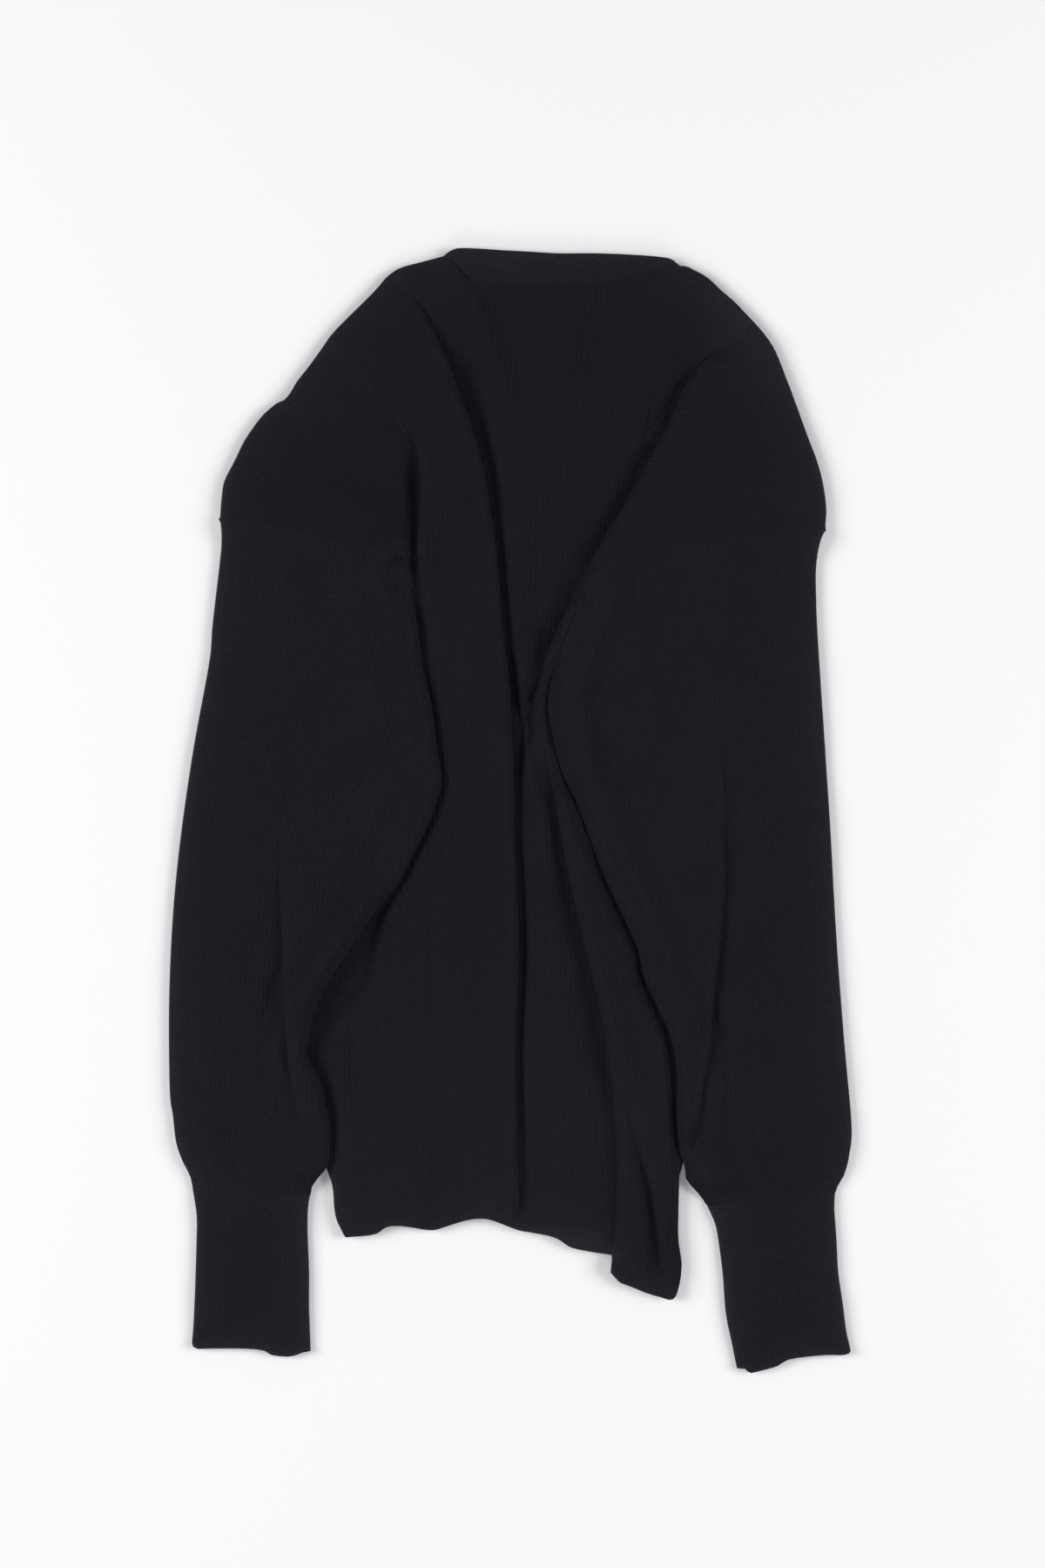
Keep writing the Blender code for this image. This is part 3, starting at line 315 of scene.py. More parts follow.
GROOVE_LOW = (
    (15, 62, 0, 0.6, 2.4, 5), (16.2, 50, 0.4, 2, 2.8, 6), (18, 38, 0.8, 3, 3, 7),
    (20.8, 27, 1.6, 3.6, 3, 8), (24.8, 12, 2.4, 4, 2.8, 8), (28.5, -6, 3, 4, 2.4, 8),
    (36.5, -49, 4.6, 4.4, 2.8, 13), (51, -111, 5, 4.8, 3, 19), (60, -153, 5, 4.8, 3, 20),
    (65, -214, 3, 3, 2.6, 12), (65, -243, 3, 2.6, 2.6, 12), (63, -274, 3, 2, 2.4, 8),
)
GROOVE_FLAP = (
    (66, -176, 0, 0, 1, 8), (74, -198, 0.8, 1.8, 1.6, 7), (81, -221, 1, 3.2, 2, 6),
    (87, -243, 1.5, 4, 2.6, 6), (89.5, -265, 1.5, 4.4, 3, 6), (91.5, -285, 1, 3, 2.6, 7),
    (94, -297, 0, 1, 2, 7),
)
# The body falls away beside the left sleeve's inner edge; this groove runs along that edge.
GROOVE_POCKET = (
    (-57, -20, 0, 1.5, 3, 4), (-66, -37, 0, 3, 6, 4), (-76, -52, 0, 5, 8, 4),
    (-86, -64, 0, 5.5, 12, 7), (-97, -80, 0, 5.5, 36, 8), (-108, -97, 0, 5.5, 54, 10),
    (-116, -111, 0, 5.2, 42, 14), (-122, -124, 0, 5, 28, 16), (-127, -144, 0, 4.8, 12, 15),
    (-127.5, -153, 0, 4.6, 8, 12), (-121, -166, 0, 4.2, 5, 9), (-117, -181, 0, 3.6, 4, 8),
    (-114, -197, 0, 2.6, 4, 7), (-114, -215, 0, 1, 3, 6),
)
GROOVE_LEFT_SLEEVE = (
    (-148, -10, 0, 0, 1, 16), (-146, -42, 1.6, 2, 1, 14), (-144, -90, 2.6, 3.2, 1.4, 15),
    (-142, -130, 2.6, 3.4, 1.4, 15), (-140, -160, 2.4, 3.3, 1.4, 15), (-134, -190, 2, 2.8, 1.2, 14),
    (-128, -214, 0, 0, 1, 12),
)
GROOVE_RIGHT_SLEEVE = (
    (135, 50, 0, 0, 1, 10), (136, 17, 0.6, 1.8, 1.4, 10), (136.6, -38, 1.2, 3, 1.4, 10),
    (134.5, -65, 1.8, 3.4, 1.4, 11), (131.5, -93, 2.4, 3.9, 1.4, 12),
    (128.7, -122, 2.4, 3.9, 1.4, 12), (126, -148, 2.4, 3.9, 1.4, 12),
    (122.5, -172, 2.2, 3.6, 1.4, 12), (118.5, -194, 2, 3.2, 1.4, 11), (113, -222, 1, 2, 1.2, 9),
    (109, -242, 0, 0, 1, 8),
)
# Which side of each groove is the upper one, seen along its rows: 1 is the left, -1 the right.
GROOVES = (
    (GROOVE_LEFT, -1), (GROOVE_STRIP, 1), (GROOVE_RIGHT, 1), (GROOVE_LOW, 1), (GROOVE_FLAP, 1),
    (GROOVE_POCKET, -1),
)
SLEEVE_GROOVES = {"left": ((GROOVE_LEFT_SLEEVE, 1),), "right": ((GROOVE_RIGHT_SLEEVE, -1),)}

# ---- Soft creases: rows of x, y; then height and half width ----
CREASES = (
    (((-29, 343), (-18, 328), (-10, 313), (-4, 294), (2, 271), (3, 252)), -2.6, 5.0),
    (((69, 337), (57, 317), (46, 292), (41, 268)), -2.4, 6.0),
    (((41, 231), (30, 204), (21, 171), (16, 132), (13, 94)), -2.8, 7.5),
    (((-108, 270), (-88, 254), (-69, 237)), -2.2, 8.0),
    (((142, 319), (152, 303), (160, 285)), 1.6, 4.0),
    (((62, -122), (70, -150), (76, -175)), 2.0, 7.0),
    (((-100, -112), (-98, -150), (-97, -195)), -2.2, 6.0),
)
SLEEVE_CREASES = {
    "left": (
        (((-84, -50), (-95, -66), (-111, -90), (-125, -116), (-133, -138)), 4.0, 9.0),
        (((-76, -40), (-92, -60), (-112, -86), (-130, -115), (-137, -140), (-134, -160)), 2.8, 9.0),
        (((-183, -150), (-176, -200), (-172, -238)), -1.4, 7.0),
        (((-160, -190), (-157, -240)), -0.8, 6.0),
    ),
    "right": (
        (((39, 94), (31.5, 72), (34, 46), (44, 16), (54, -10)), 5.0, 7.0),
        (((128, -110), (120, -150), (115, -190)), -2.0, 5.0),
        (((172, -170), (170, -205), (167, -238)), -1.2, 7.0),
    ),
}


# ---- Lines and distances ----
def resample(curve, step):
    """The same line with points at an even spacing near `step`."""
    lengths = np.hypot(*np.diff(curve[:, :2], axis=0).T)
    along = np.concatenate([[0.0], np.cumsum(lengths)])
    places = np.linspace(0.0, along[-1], max(2, round(along[-1] / step) + 1))
    return np.column_stack([np.interp(places, along, column) for column in curve.T])


def smooth(rows, step):
    """A smooth line through the rows, one column for each of theirs."""
    points = np.array(rows, float)
    padded = np.vstack([2 * points[0] - points[1], points, 2 * points[-1] - points[-2]])
    t = np.linspace(0.0, 1.0, CURVE_PARTS + 1)[:-1, None]
    pieces = []
    for a, b, c, d in zip(padded, padded[1:], padded[2:], padded[3:]):
        pieces.append(0.5 * (2 * b + (c - a) * t + (2 * a - 5 * b + 4 * c - d) * t**2
                             + (3 * b - a - 3 * c + d) * t**3))
    return resample(np.vstack(pieces + [points[-1:]]), step)


def nearest(xy, line):
    """Signed distance from the line, positive on its left, share of the way along, and normal."""
    starts = line[:-1, :2]
    steps = np.diff(line[:, :2], axis=0)
    lengths = (steps**2).sum(1)
    sides, shares, normals = [], [], []
    for first in range(0, len(xy), BLOCK):
        block = xy[first:first + BLOCK]
        share = ((block[:, None] - starts) * steps).sum(2) / lengths
        share = np.clip(share, 0.0, 1.0)
        gap = block[:, None] - (starts + share[..., None] * steps)
        distance = np.hypot(gap[..., 0], gap[..., 1])
        best = distance.argmin(1)
        row = np.arange(len(block))
        step = steps[best]
        gap = gap[row, best]
        turn = step[:, 0] * gap[:, 1] - step[:, 1] * gap[:, 0]
        sides.append(np.where(turn >= 0, 1.0, -1.0) * distance[row, best])
        shares.append((best + share[row, best]) / len(steps))
        normals.append(np.column_stack([-step[:, 1], step[:, 0]]) / np.hypot(*step.T)[:, None])
    return np.concatenate(sides), np.concatenate(shares), np.vstack(normals)


def beside(xy, line):
    return nearest(xy, line)[:2]


def gap_to(xy, rows):
    """Distance of each point from a smooth line, either side."""
    return np.abs(beside(xy, smooth(rows, LINE_STEP))[0])


def closed(loop):
    return np.vstack([loop, loop[:1]])


def inside(xy, loop):
    """True for each point within the closed loop."""
    found = []
    ax, ay = loop[:, 0], loop[:, 1]
    bx, by = np.roll(ax, -1), np.roll(ay, -1)
    rise = np.where(by == ay, 1.0, by - ay)
    for first in range(0, len(xy), BLOCK):
        x, y = xy[first:first + BLOCK, :2].T[..., None]
        crosses = (ay > y) != (by > y)
        left_of = x < (bx - ax) * (y - ay) / rise + ax
        found.append((crosses & left_of).sum(1) % 2 == 1)
    return np.concatenate(found)


def ease(t):
    t = np.clip(t, 0.0, 1.0)
    return t * t * (3 - 2 * t)


def rounding(distance, reach):
    """0 at an edge and 1 from `reach` on, along a quarter circle."""
    t = np.clip(distance / reach, 0.0, 1.0)
    return np.sqrt(1 - (1 - t) ** 2)


def bell(distance, width):
    return np.exp(-((distance / width) ** 2))


def roll(distance, radius):
    """Sideways shift and height share over a rolled edge that starts at distance 0."""
    turn = np.clip(distance / radius, 0.0, 1.0) * math.pi / 2
    return np.where(distance < radius, radius * (1 - np.cos(turn)) - distance, 0.0), np.sin(turn)


def loop_of(*edges, step):
    """One closed outline from edges given end to end."""
    return np.vstack([smooth(edge, step)[:-1] for edge in edges])


def turned(rows):
    return tuple(reversed(rows))


def moved(line, distance):
    """The line shifted to its left by `distance`, one number or one for each point."""
    along = np.gradient(line[:, :2], axis=0)
    along /= np.hypot(along[:, 0], along[:, 1])[:, None]
    return line[:, :2] + np.reshape(distance, (-1, 1)) * np.column_stack([-along[:, 1], along[:, 0]])


def runs_of(line, keep):
    """The stretches of a line where `keep` holds."""
    marks = np.flatnonzero(np.diff(np.concatenate([[False], keep, [False]]).astype(int)))
    return [line[a:b] for a, b in marks.reshape(-1, 2)]


def clear_runs(line, loop, distance):
    """The stretches of a line that lie in the outline, more than `distance` inside it."""
    clear = inside(line, loop) & (np.abs(beside(line, closed(loop))[0]) > distance)
    return [run for run in runs_of(line, clear) if len(run) > 1]


def uneven(xy, height, length, seed):
    """A gentle unevenness of hand-laid cloth, as a sum of a few waves."""
    dice = np.random.default_rng(seed)
    rise = np.zeros(len(xy))
    for share in WAVES:
        for _ in range(WAVES_EACH):
            angle, phase = dice.uniform(0, 2 * math.pi, 2)
            wave = 2 * math.pi / (length * share)
            along = xy[:, 0] * math.cos(angle) + xy[:, 1] * math.sin(angle)
            rise += share * np.sin(wave * along + phase)
    return rise * height / sum(WAVES)


# ---- Outlines ----
SEAM_TUCK = 0.9  # a sleeve's edge is sewn this far under the body's
CUFF_TUCK = 0.7  # and a cuff's under the sleeve's
LEFT_CORNER, RIGHT_CORNER = (-182.7, 184.0), (198.3, 177.5)  # outer tops of the sleeves
UNDERARM = (46.0, 139.8)  # inner top of the right one
BODY_EDGES = (
    SHOULDER_RIGHT, SEAM_RIGHT, HIDDEN_RIGHT, FLAP_RIGHT, FLAP_HEM, FLAP_STEP, HEM, HEM_CORNER,
    HIDDEN_LEFT, turned(SEAM_LEFT), SHOULDER_LEFT,
)
OPEN_EDGES = (SHOULDER_LEFT, SHOULDER_RIGHT, FLAP_RIGHT, FLAP_HEM, HEM, HEM_CORNER)
BACK_OUTER = (SHOULDER_LEFT, SHOULDER_RIGHT, FLAP_HEM, HEM, HEM_CORNER)


def back_outline(step):
    return loop_of(NECK_EDGE, *BODY_EDGES, step=step)[::-1]


def tucked(rows, distance=SEAM_TUCK):
    """The rows of a seam for the piece that is sewn a little under the one above it."""
    return tuple((x, y + distance) for x, y in rows)


def sleeve_left_outline(step):
    return loop_of(
        turned(SLEEVE_LEFT_OUTER[1:]) + (LEFT_CORNER,),
        (LEFT_CORNER,) + tucked(SEAM_LEFT[1:]) + (SLEEVE_LEFT_INNER[0],),
        SLEEVE_LEFT_INNER, (SLEEVE_LEFT_INNER[-1], SLEEVE_LEFT_OUTER[-1]), step=step,
    )[::-1]


def sleeve_right_outline(step):
    return loop_of(
        (RIGHT_CORNER,) + SLEEVE_RIGHT_OUTER[1:], (SLEEVE_RIGHT_OUTER[-1], SLEEVE_RIGHT_INNER[-1]),
        turned((UNDERARM,) + SLEEVE_RIGHT_INNER[1:]),
        (UNDERARM,) + turned(tucked(SEAM_RIGHT[1:-1])) + (RIGHT_CORNER,), step=step,
    )[::-1]


BACK_LOOP = back_outline(COARSE_STEP)
SLEEVE_LEFT_LOOP = sleeve_left_outline(COARSE_STEP)
SLEEVE_RIGHT_LOOP = sleeve_right_outline(COARSE_STEP)


# ---- Form of the back ----
def fold_form(xy, rows, upper):
    """Rise, shift and depth beside one fold: a rolled lip over a groove that slopes up again."""
    line = smooth(rows, FOLD_STEP)
    distance, share, normal = nearest(xy, line)
    distance = distance * upper
    place = share * (len(line) - 1)
    lip, depth, half, slope = (np.interp(place, np.arange(len(line)), line[:, i]) for i in range(2, 6))
    up = np.maximum(distance - half, 0.0)
    away = ease((-distance - FLOOR_SHARE * half) / slope)
    aside, share_up = roll(up, LIP_ROLL)
    over = LIP_OVER * np.sin(np.clip(up / LIP_ROLL, 0.0, 1.0) * math.pi)
    aside = (aside - over) * np.clip((lip + depth) / LIP_STRONG, 0.0, 1.0) * (up > 0)
    above = (lip * bell(up, LIP_REACH) + depth) * share_up - depth
    rise = np.where(up > 0, above, depth * (away - 1))
    low = depth * np.where(up > 0, 1 - share_up, 1 - away)
    return rise, aside[:, None] * normal * upper, low


def grooved(xy, grooves, deep):
    """Rise and shift of a set of grooves, and the share of the ribs' relief that they leave."""
    rise, shift, depth = np.zeros(len(xy)), np.zeros((len(xy), 2)), np.zeros(len(xy))
    for rows, upper in grooves:
        height, aside, low = fold_form(xy, rows, upper)
        rise += height
        shift += aside
        depth = np.maximum(depth, low)
    return rise, shift, 1 - DEEP_LOSS * np.clip(depth / deep, 0.0, 1.0)


def crease_rise(xy, creases):
    """Soft troughs and ridges that fade out over the first and last quarter of their length."""
    rise = np.zeros(len(xy))
    for rows, height, half_width in creases:
        distance, share = beside(xy, smooth(rows, LINE_STEP))
        fade = ease(4 * share) * ease(4 * (1 - share))
        rise += height * fade * bell(distance, half_width)
    return rise


def flush(xy):
    """1 where a sleeve's inner edge lies even with the body, 0 lower down."""
    left, right = (ease((xy[:, 1] - start) / over) for start, over in (LEFT_FLUSH, RIGHT_FLUSH))
    return right * (xy[:, 0] > 0) + left * (xy[:, 0] < 0)


def covered(xy):
    """Share of the body's height that is left: little under a sleeve and 1 well clear of both."""
    shown = np.ones(len(xy))
    sleeves = (
        (SLEEVE_LEFT_LOOP, SLEEVE_LEFT_INNER, SEAM_LEFT),
        (SLEEVE_RIGHT_LOOP, SLEEVE_RIGHT_INNER, SEAM_RIGHT),
    )
    for loop, edge, seam in sleeves:
        gap = gap_to(xy, edge)
        least = EDGE_SHARE + (1 - EDGE_SHARE) * flush(xy)
        near = least + (1 - least) * ease(gap / COVER_ROUND)
        held = np.maximum(ease(1 - gap / TUCK_FADE), ease((SEAM_HELD - gap_to(xy, seam)) / TUCK_FADE))
        shown *= np.where(inside(xy, loop), held * least, near)
    return shown


def underarm_lift(xy):
    """The left yoke rises towards its underarm, where the sleeve rides on the body."""
    gap = gap_to(xy, SLEEVE_LEFT_INNER)
    ride = np.clip((RIDE_END - gap) / (RIDE_END - RIDE_TO), 0.0, 1.0)
    yoke = xy[:, 1] > SEAM_LEFT[-1][1] + 1
    return SLEEVE_RIDE * ride * ease(gap / COVER_ROUND) * bell(gap_to(xy, SEAM_LEFT), LIFT_FADE) * yoke


def hem_bead(distance):
    """A slightly rolled edge with a shallow hollow behind it."""
    return sum(height * bell(distance - place, width) for height, place, width in HEM_WAVES)


def back_form(xy):
    """Sideways shift and height of the upper side of the back, and the share of its ribs' relief."""
    edge = np.ones(len(xy))
    for rows in OPEN_EDGES:
        edge = np.minimum(edge, rounding(gap_to(xy, rows), BODY_ROUND))
    neck = ease(gap_to(xy, NECK_EDGE) / NECK_ROUND)
    edge = np.minimum(edge, NECK_SHARE + (1 - NECK_SHARE) * neck)
    rise, shift, relief = grooved(xy, GROOVES, DEEP["back"])
    rise += BACK_PUFF + crease_rise(xy, CREASES) + uneven(xy, *BACK_UNEVEN)
    shown = covered(xy)
    rise = np.maximum(rise, DEEPEST) * edge * shown + underarm_lift(xy)
    seam = np.minimum(gap_to(xy, SEAM_LEFT), gap_to(xy, SEAM_RIGHT[:-2]))
    rise += hem_bead(np.minimum(gap_to(xy, HEM), gap_to(xy, FLAP_HEM)))
    rise += SEAM_RIDGE * bell(seam, SEAM_RIDGE_HALF) * shown
    rim = np.abs(beside(xy, closed(BACK_LOOP))[0])
    rim = np.where(seam < SEAM_NEAR, np.maximum(rim, SEAM_RIM * CLOTH_ROUND), rim)
    cloth = RIM + (WALL - RIM) * rounding(rim, CLOTH_ROUND)
    return shift * (edge * shown)[:, None], BACK_FLOOR + cloth + rise, relief


# ---- Form of a sleeve and of a cuff ----
def sleeve_floor(inner, foot_y):
    """Underside of a sleeve: up on the body along its inner edge, else on the floor."""
    def height(xy):
        ride = np.clip((RIDE_END - gap_to(xy, inner)) / (RIDE_END - RIDE_TO), 0.0, 1.0)
        return SLEEVE_RIDE * ride * np.clip((xy[:, 1] - foot_y) / RIDE_FADE, 0.0, 1.0)

    return height


def rolled_sides(xy, sides):
    """Shift and height share beside the folded sides of a flattened tube."""
    shift = np.zeros((len(xy), 2))
    share = np.ones(len(xy))
    for rows, side, radius in sides:
        distance, _, normal = nearest(xy, smooth(rows, FOLD_STEP))
        aside, up = roll(np.abs(distance), radius)
        shift += (aside * side)[:, None] * normal
        share = np.minimum(share, up)
    return shift, share


def meets(xy, z, rows, reach, step, weight=1.0):
    """Heights of a sleeve that take up the body's own along an edge that they share."""
    line = smooth(rows, ROW_STEP)
    body = back_form(moved(line, reach))[1] + step
    distance, share = beside(xy, line)
    body = np.interp(share * (len(line) - 1), np.arange(len(line)), body)
    near = (1 - ease(np.abs(distance) / SEAM_FADE)) * weight
    return z + (body - z) * near


def gathers(across, above_cuff, phase):
    """Small waves of the cloth that is drawn in at the cuff."""
    waves = sum(share * np.sin(2 * math.pi * number * across + lag)
                for (number, share), lag in zip(GATHERS, (phase, 0.0)))
    return GATHER_RISE * waves * (1 - ease(above_cuff / GATHER_FADE)) * ease(above_cuff / GATHER_START)


def sleeve_form(outer, inner, turn, floor, seam, creases, grooves, seed):
    """Shift and height of the upper side of a sleeve, and the share of its ribs' relief."""
    def form(xy):
        narrow = TUBE_ROUND * (1 - FLUSH_NARROW * flush(xy))
        shift, share = rolled_sides(xy, ((outer, turn, TUBE_ROUND), (inner, -turn, narrow)))
        out, in_ = gap_to(xy, outer), gap_to(xy, inner)
        across = out / (out + in_ + SMALLEST)
        above_cuff = np.maximum(xy[:, 1] - outer[-1][1], 0.0)
        rise, aside, relief = grooved(xy, grooves, DEEP["sleeve"])
        rise += CUFF_FULL + (SLEEVE_FULL - CUFF_FULL) * ease(above_cuff / FULL_OVER) - RIM
        rise += SLEEVE_DOME * np.sin(math.pi * across) ** DOME_FLAT * ease(above_cuff / DOME_OVER)
        rise += crease_rise(xy, creases) + uneven(xy, *SLEEVE_UNEVEN, seed)
        rise += gathers(across, above_cuff, seed)
        drawn = 1 - GATHER_LOSS * ease((GATHER_FROM - xy[:, 1]) / GATHER_OVER)
        z = floor(xy) + RIM + rise * share
        z = meets(xy, z, inner[:SHARED_ROWS], SHARED_REACH * turn, SHARED_STEP, flush(xy))
        z = meets(xy, z, seam, SEAM_REACH * turn, SEAM_LAP)
        return shift + aside, z, np.minimum(relief, drawn)

    return form


def cuff_form(outer, inner, turn, hem, seed):
    def form(xy):
        shift, share = rolled_sides(xy, ((outer, turn, CUFF_ROUND), (inner, -turn, CUFF_ROUND)))
        edge = gap_to(xy, hem)
        rise = (CUFF_FULL - RIM + uneven(xy, *CUFF_UNEVEN, seed) + hem_bead(edge)) * share
        end = CUFF_END + (1 - CUFF_END) * rounding(edge, CLOTH_ROUND)
        return shift, RIM + rise * end, np.full(len(xy), CUFF_RELIEF)

    return form


# ---- Ribs ----
def between(guides, number):
    """The line of one rib, between the guide ribs on either side of it."""
    numbers = [guide[0] for guide in guides]
    right = next(i for i, n in enumerate(numbers[1:], 1) if number <= n)
    share = (number - numbers[right - 1]) / (numbers[right] - numbers[right - 1])
    first = np.array(guides[right - 1][1:], float)
    second = np.array(guides[right][1:], float)
    return smooth(first + share * (second - first), DRAW_STEP)


def rib_numbers(first, last):
    """Numbers of the lines that draw the ribs: whole ones are crests, halves are troughs."""
    return np.arange(first * LINES_A_RIB, last * LINES_A_RIB + 1) / LINES_A_RIB


def measured(line):
    """The line with a third column, the length along it."""
    lengths = np.hypot(*np.diff(line[:, :2], axis=0).T)
    return np.column_stack([line[:, :2], np.concatenate([[0.0], np.cumsum(lengths)])])


def clipped(line, loop, folds, side_tests, step, covers=()):
    """The stretches of a rib in the outline, clear of it, of every fold and of what covers it."""
    keep = inside(line, loop)
    keep &= np.abs(beside(line, closed(loop))[0]) > RIB_INSET
    for cover in covers:
        keep &= ~inside(line, cover)
    for fold in folds:
        keep &= np.abs(beside(line, fold)[0]) > RIB_INSET
    for fold, side in side_tests:
        keep &= beside(line, fold)[0] * side > 0
    return [resample(run, step) for run in runs_of(measured(line), keep) if len(run) > 2]


def body_rib(number):
    """The rib this many to the left of the left fold."""
    rows = [np.add(near, (np.subtract(far, near)) * number / STRIP_RIBS) for near, far in BODY_RIBS]
    if number > STRIP_RIBS:
        rows = rows[SIDE_FROM:]
    return smooth(rows, DRAW_STEP)


def back_ribs():
    """Every rib line of the back, as (family, number, line)."""
    folds = [lip_line(rows, upper, LIP_STEP) for rows, upper in GROOVES]
    left, strip, right, low = folds[:4]
    covers = (SLEEVE_LEFT_LOOP, SLEEVE_RIGHT_LOOP)
    edges = [smooth(rows, LINE_STEP) for rows in (SLEEVE_LEFT_INNER, SLEEVE_RIGHT_INNER)]
    sleeve_edge = smooth(SLEEVE_LEFT_INNER, EDGE_STEP)[EDGE_SKIP:]
    strip_line = np.vstack([STRIP_HEAD, strip, sleeve_edge])
    found = []

    def add(family, number, line, tests):
        for run in clipped(line, BACK_LOOP, folds + edges, tests, RIB_STEP, covers):
            found.append((family, number, run))

    for number in rib_numbers(0, LEFT_YOKE_RIBS[-1][0]):
        add(0, number, between(LEFT_YOKE_RIBS, number), [(strip_line, -1)])
    for number in rib_numbers(1, SIDE_RIBS):
        beside_strip = [(strip, -1)] if number > STRIP_RIBS else []
        add(1, number, body_rib(number), [(left, -1)] + beside_strip)
    for number in rib_numbers(0, CENTRE_RIBS[-1][0]):
        add(2, number, between(CENTRE_RIBS, number), [(left, 1), (right, -1)])
    for number in rib_numbers(0, RIGHT_YOKE_RIBS[-1][0]):
        add(3, number, between(RIGHT_YOKE_RIBS, number), [(right, 1)])
    low_left = left[left[:, 1] < LOW_FOLD_FROM]
    for number in rib_numbers(1, LOW_STRIP_RIBS):
        line = resample(low_left + (RIB_PITCH * number, 0.0), DRAW_STEP)
        add(4, number, line[line[:, 1] < LOW_STRIP_TOP], [(left, 1), (low, -1)])
    right_strip = np.vstack([RIGHT_STRIP_HEAD, low, RIGHT_STRIP_FOOT])
    for number in rib_numbers(1, RIGHT_STRIP_RIBS):
        line = resample(right_strip + (RIB_PITCH * number, 0.0), DRAW_STEP)
        add(5, number, line[line[:, 1] < RIGHT_STRIP_TOP], [(low, 1), (right, 1)])
    return found


def sleeve_ribs(outer, inner, loop, lean):
    """Ribs beside a sleeve's outer edge, leaning inwards and drawn together at the cuff."""
    edge = smooth(outer, PIECE_DRAW_STEP)
    edge = np.vstack([edge[:1] + (0.0, RIB_START), edge])
    across = math.copysign(1.0, inner[0][0] - outer[0][0])
    drop = edge[0, 1] - edge[:, 1]
    drawn = 1 - CUFF_DRAW * ease((GATHER_FROM - edge[:, 1]) / GATHER_OVER)
    found = []
    for number in rib_numbers(1, SLEEVE_RIBS):
        reach = RIB_PITCH * number * drawn - lean * drop * number / SLEEVE_RIBS
        line = np.column_stack([edge[:, 0] + across * reach, edge[:, 1]])
        found.extend((0, number, run) for run in clipped(line, loop, [], [], TUBE_STEP))
    return found


def paced(rows, count):
    """A set number of evenly spaced points along a smooth line."""
    line = smooth(rows, 1.0)
    return line[np.round(np.linspace(0, len(line) - 1, count)).astype(int)]


def cuff_ribs(outer, inner, loop):
    first, second = paced(outer, CUFF_ROWS), paced(inner, CUFF_ROWS)
    found = []
    for number in rib_numbers(0, CUFF_RIBS):
        line = resample(first + (second - first) * number / CUFF_RIBS, PIECE_DRAW_STEP)
        found.extend((0, number, run) for run in clipped(line, loop, [], [], CUFF_STEP))
    return found


# ---- Surfaces ----
def triangulate(loop, lines):
    """Triangles of an outline that keep every line: places, faces and the input point of each."""
    points = [Vector(p) for p in loop]
    edges = []
    for line in lines:
        first = len(points)
        points.extend(Vector(p) for p in line[:, :2])
        edges.extend((i, i + 1) for i in range(first, len(points) - 1))
    result = delaunay_2d_cdt(points, edges, [range(len(loop))], 1, SAME_POINT)
    places, _, faces, origins = result[:4]
    return np.array([tuple(p) for p in places]), np.array(faces), [o[0] if o else -1 for o in origins]


def moved_ring(loop, distance):
    """The closed outline with each point moved to its left by `distance`."""
    return moved(np.vstack([loop[-1:], loop, loop[:1]]), distance)[1:-1]


def rim_rows(loop, distances=RIM_LINES):
    """Lines at set distances inside a closed outline."""
    rows = []
    for distance in distances:
        line = closed(moved_ring(loop, distance))
        rows.extend(clear_runs(line, loop, RIM_CLEAR * distance))
    return rows


def lip_line(fold, upper, step, beyond=0.0):
    """The line where the lip of a groove starts to rise, or that lies `beyond` it."""
    line = smooth(fold, step)
    return moved(line, (line[:, 4] + beyond) * upper)


def fold_rows():
    """Lines at the foot of every lip, and lines that follow the sleeves' edges under them."""
    rows = []
    for fold, upper in GROOVES:
        for beyond in LIP_LINES:
            rows += clear_runs(lip_line(fold, upper, ROW_STEP, beyond)[1:-1], BACK_LOOP, LIP_CLEAR)
    for edge, side in ((SLEEVE_LEFT_INNER, -1), (SLEEVE_RIGHT_INNER, 1)):
        for reach in COVER_LINES:
            line = moved(smooth(edge, ROW_STEP), reach * side)[1:-1]
            rows += clear_runs(line, BACK_LOOP, COVER_CLEAR)
    return rows


def rib_marks(origins, first, ribs, count):
    """For each place the family and number of its rib and the length along it."""
    family = -np.ones(count + 1, int)
    number, along = np.full(count + 1, PLAIN_MARK), np.zeros(count + 1)
    for which, rib, run in ribs:
        stretch = slice(first, first + len(run))
        family[stretch], number[stretch], along[stretch] = which, rib, run[:, 2]
        first += len(run)
    return family[origins], number[origins], along[origins]


def corner_marks(faces, family, number, along):
    """Rib number and length along the rib at each corner of each face, from one family a face."""
    corners = family[faces]
    chosen = corners.max(1)[:, None]
    same = (corners == chosen) & (chosen >= 0)
    weight = np.maximum(same.sum(1), 1)[:, None]
    marks = []
    for values in (number, along):
        value = values[faces]
        mean = np.where(same, value, 0.0).sum(1)[:, None] / weight
        marks.append(np.where(same, value, mean))
    return np.stack(marks, axis=2).reshape(-1, 2)


def raised(xyz, faces, height):
    """Steps of the given heights along the surface's own normals."""
    a, b, c = (xyz[faces[:, i]] for i in range(3))
    normal = np.cross(b - a, c - a)
    sums = np.zeros_like(xyz)
    for i in range(3):
        np.add.at(sums, faces[:, i], normal)
    sums /= np.maximum(np.linalg.norm(sums, axis=1), SMALLEST)[:, None]
    sums[sums[:, 2] < 0] *= -1
    return sums * height[:, None]


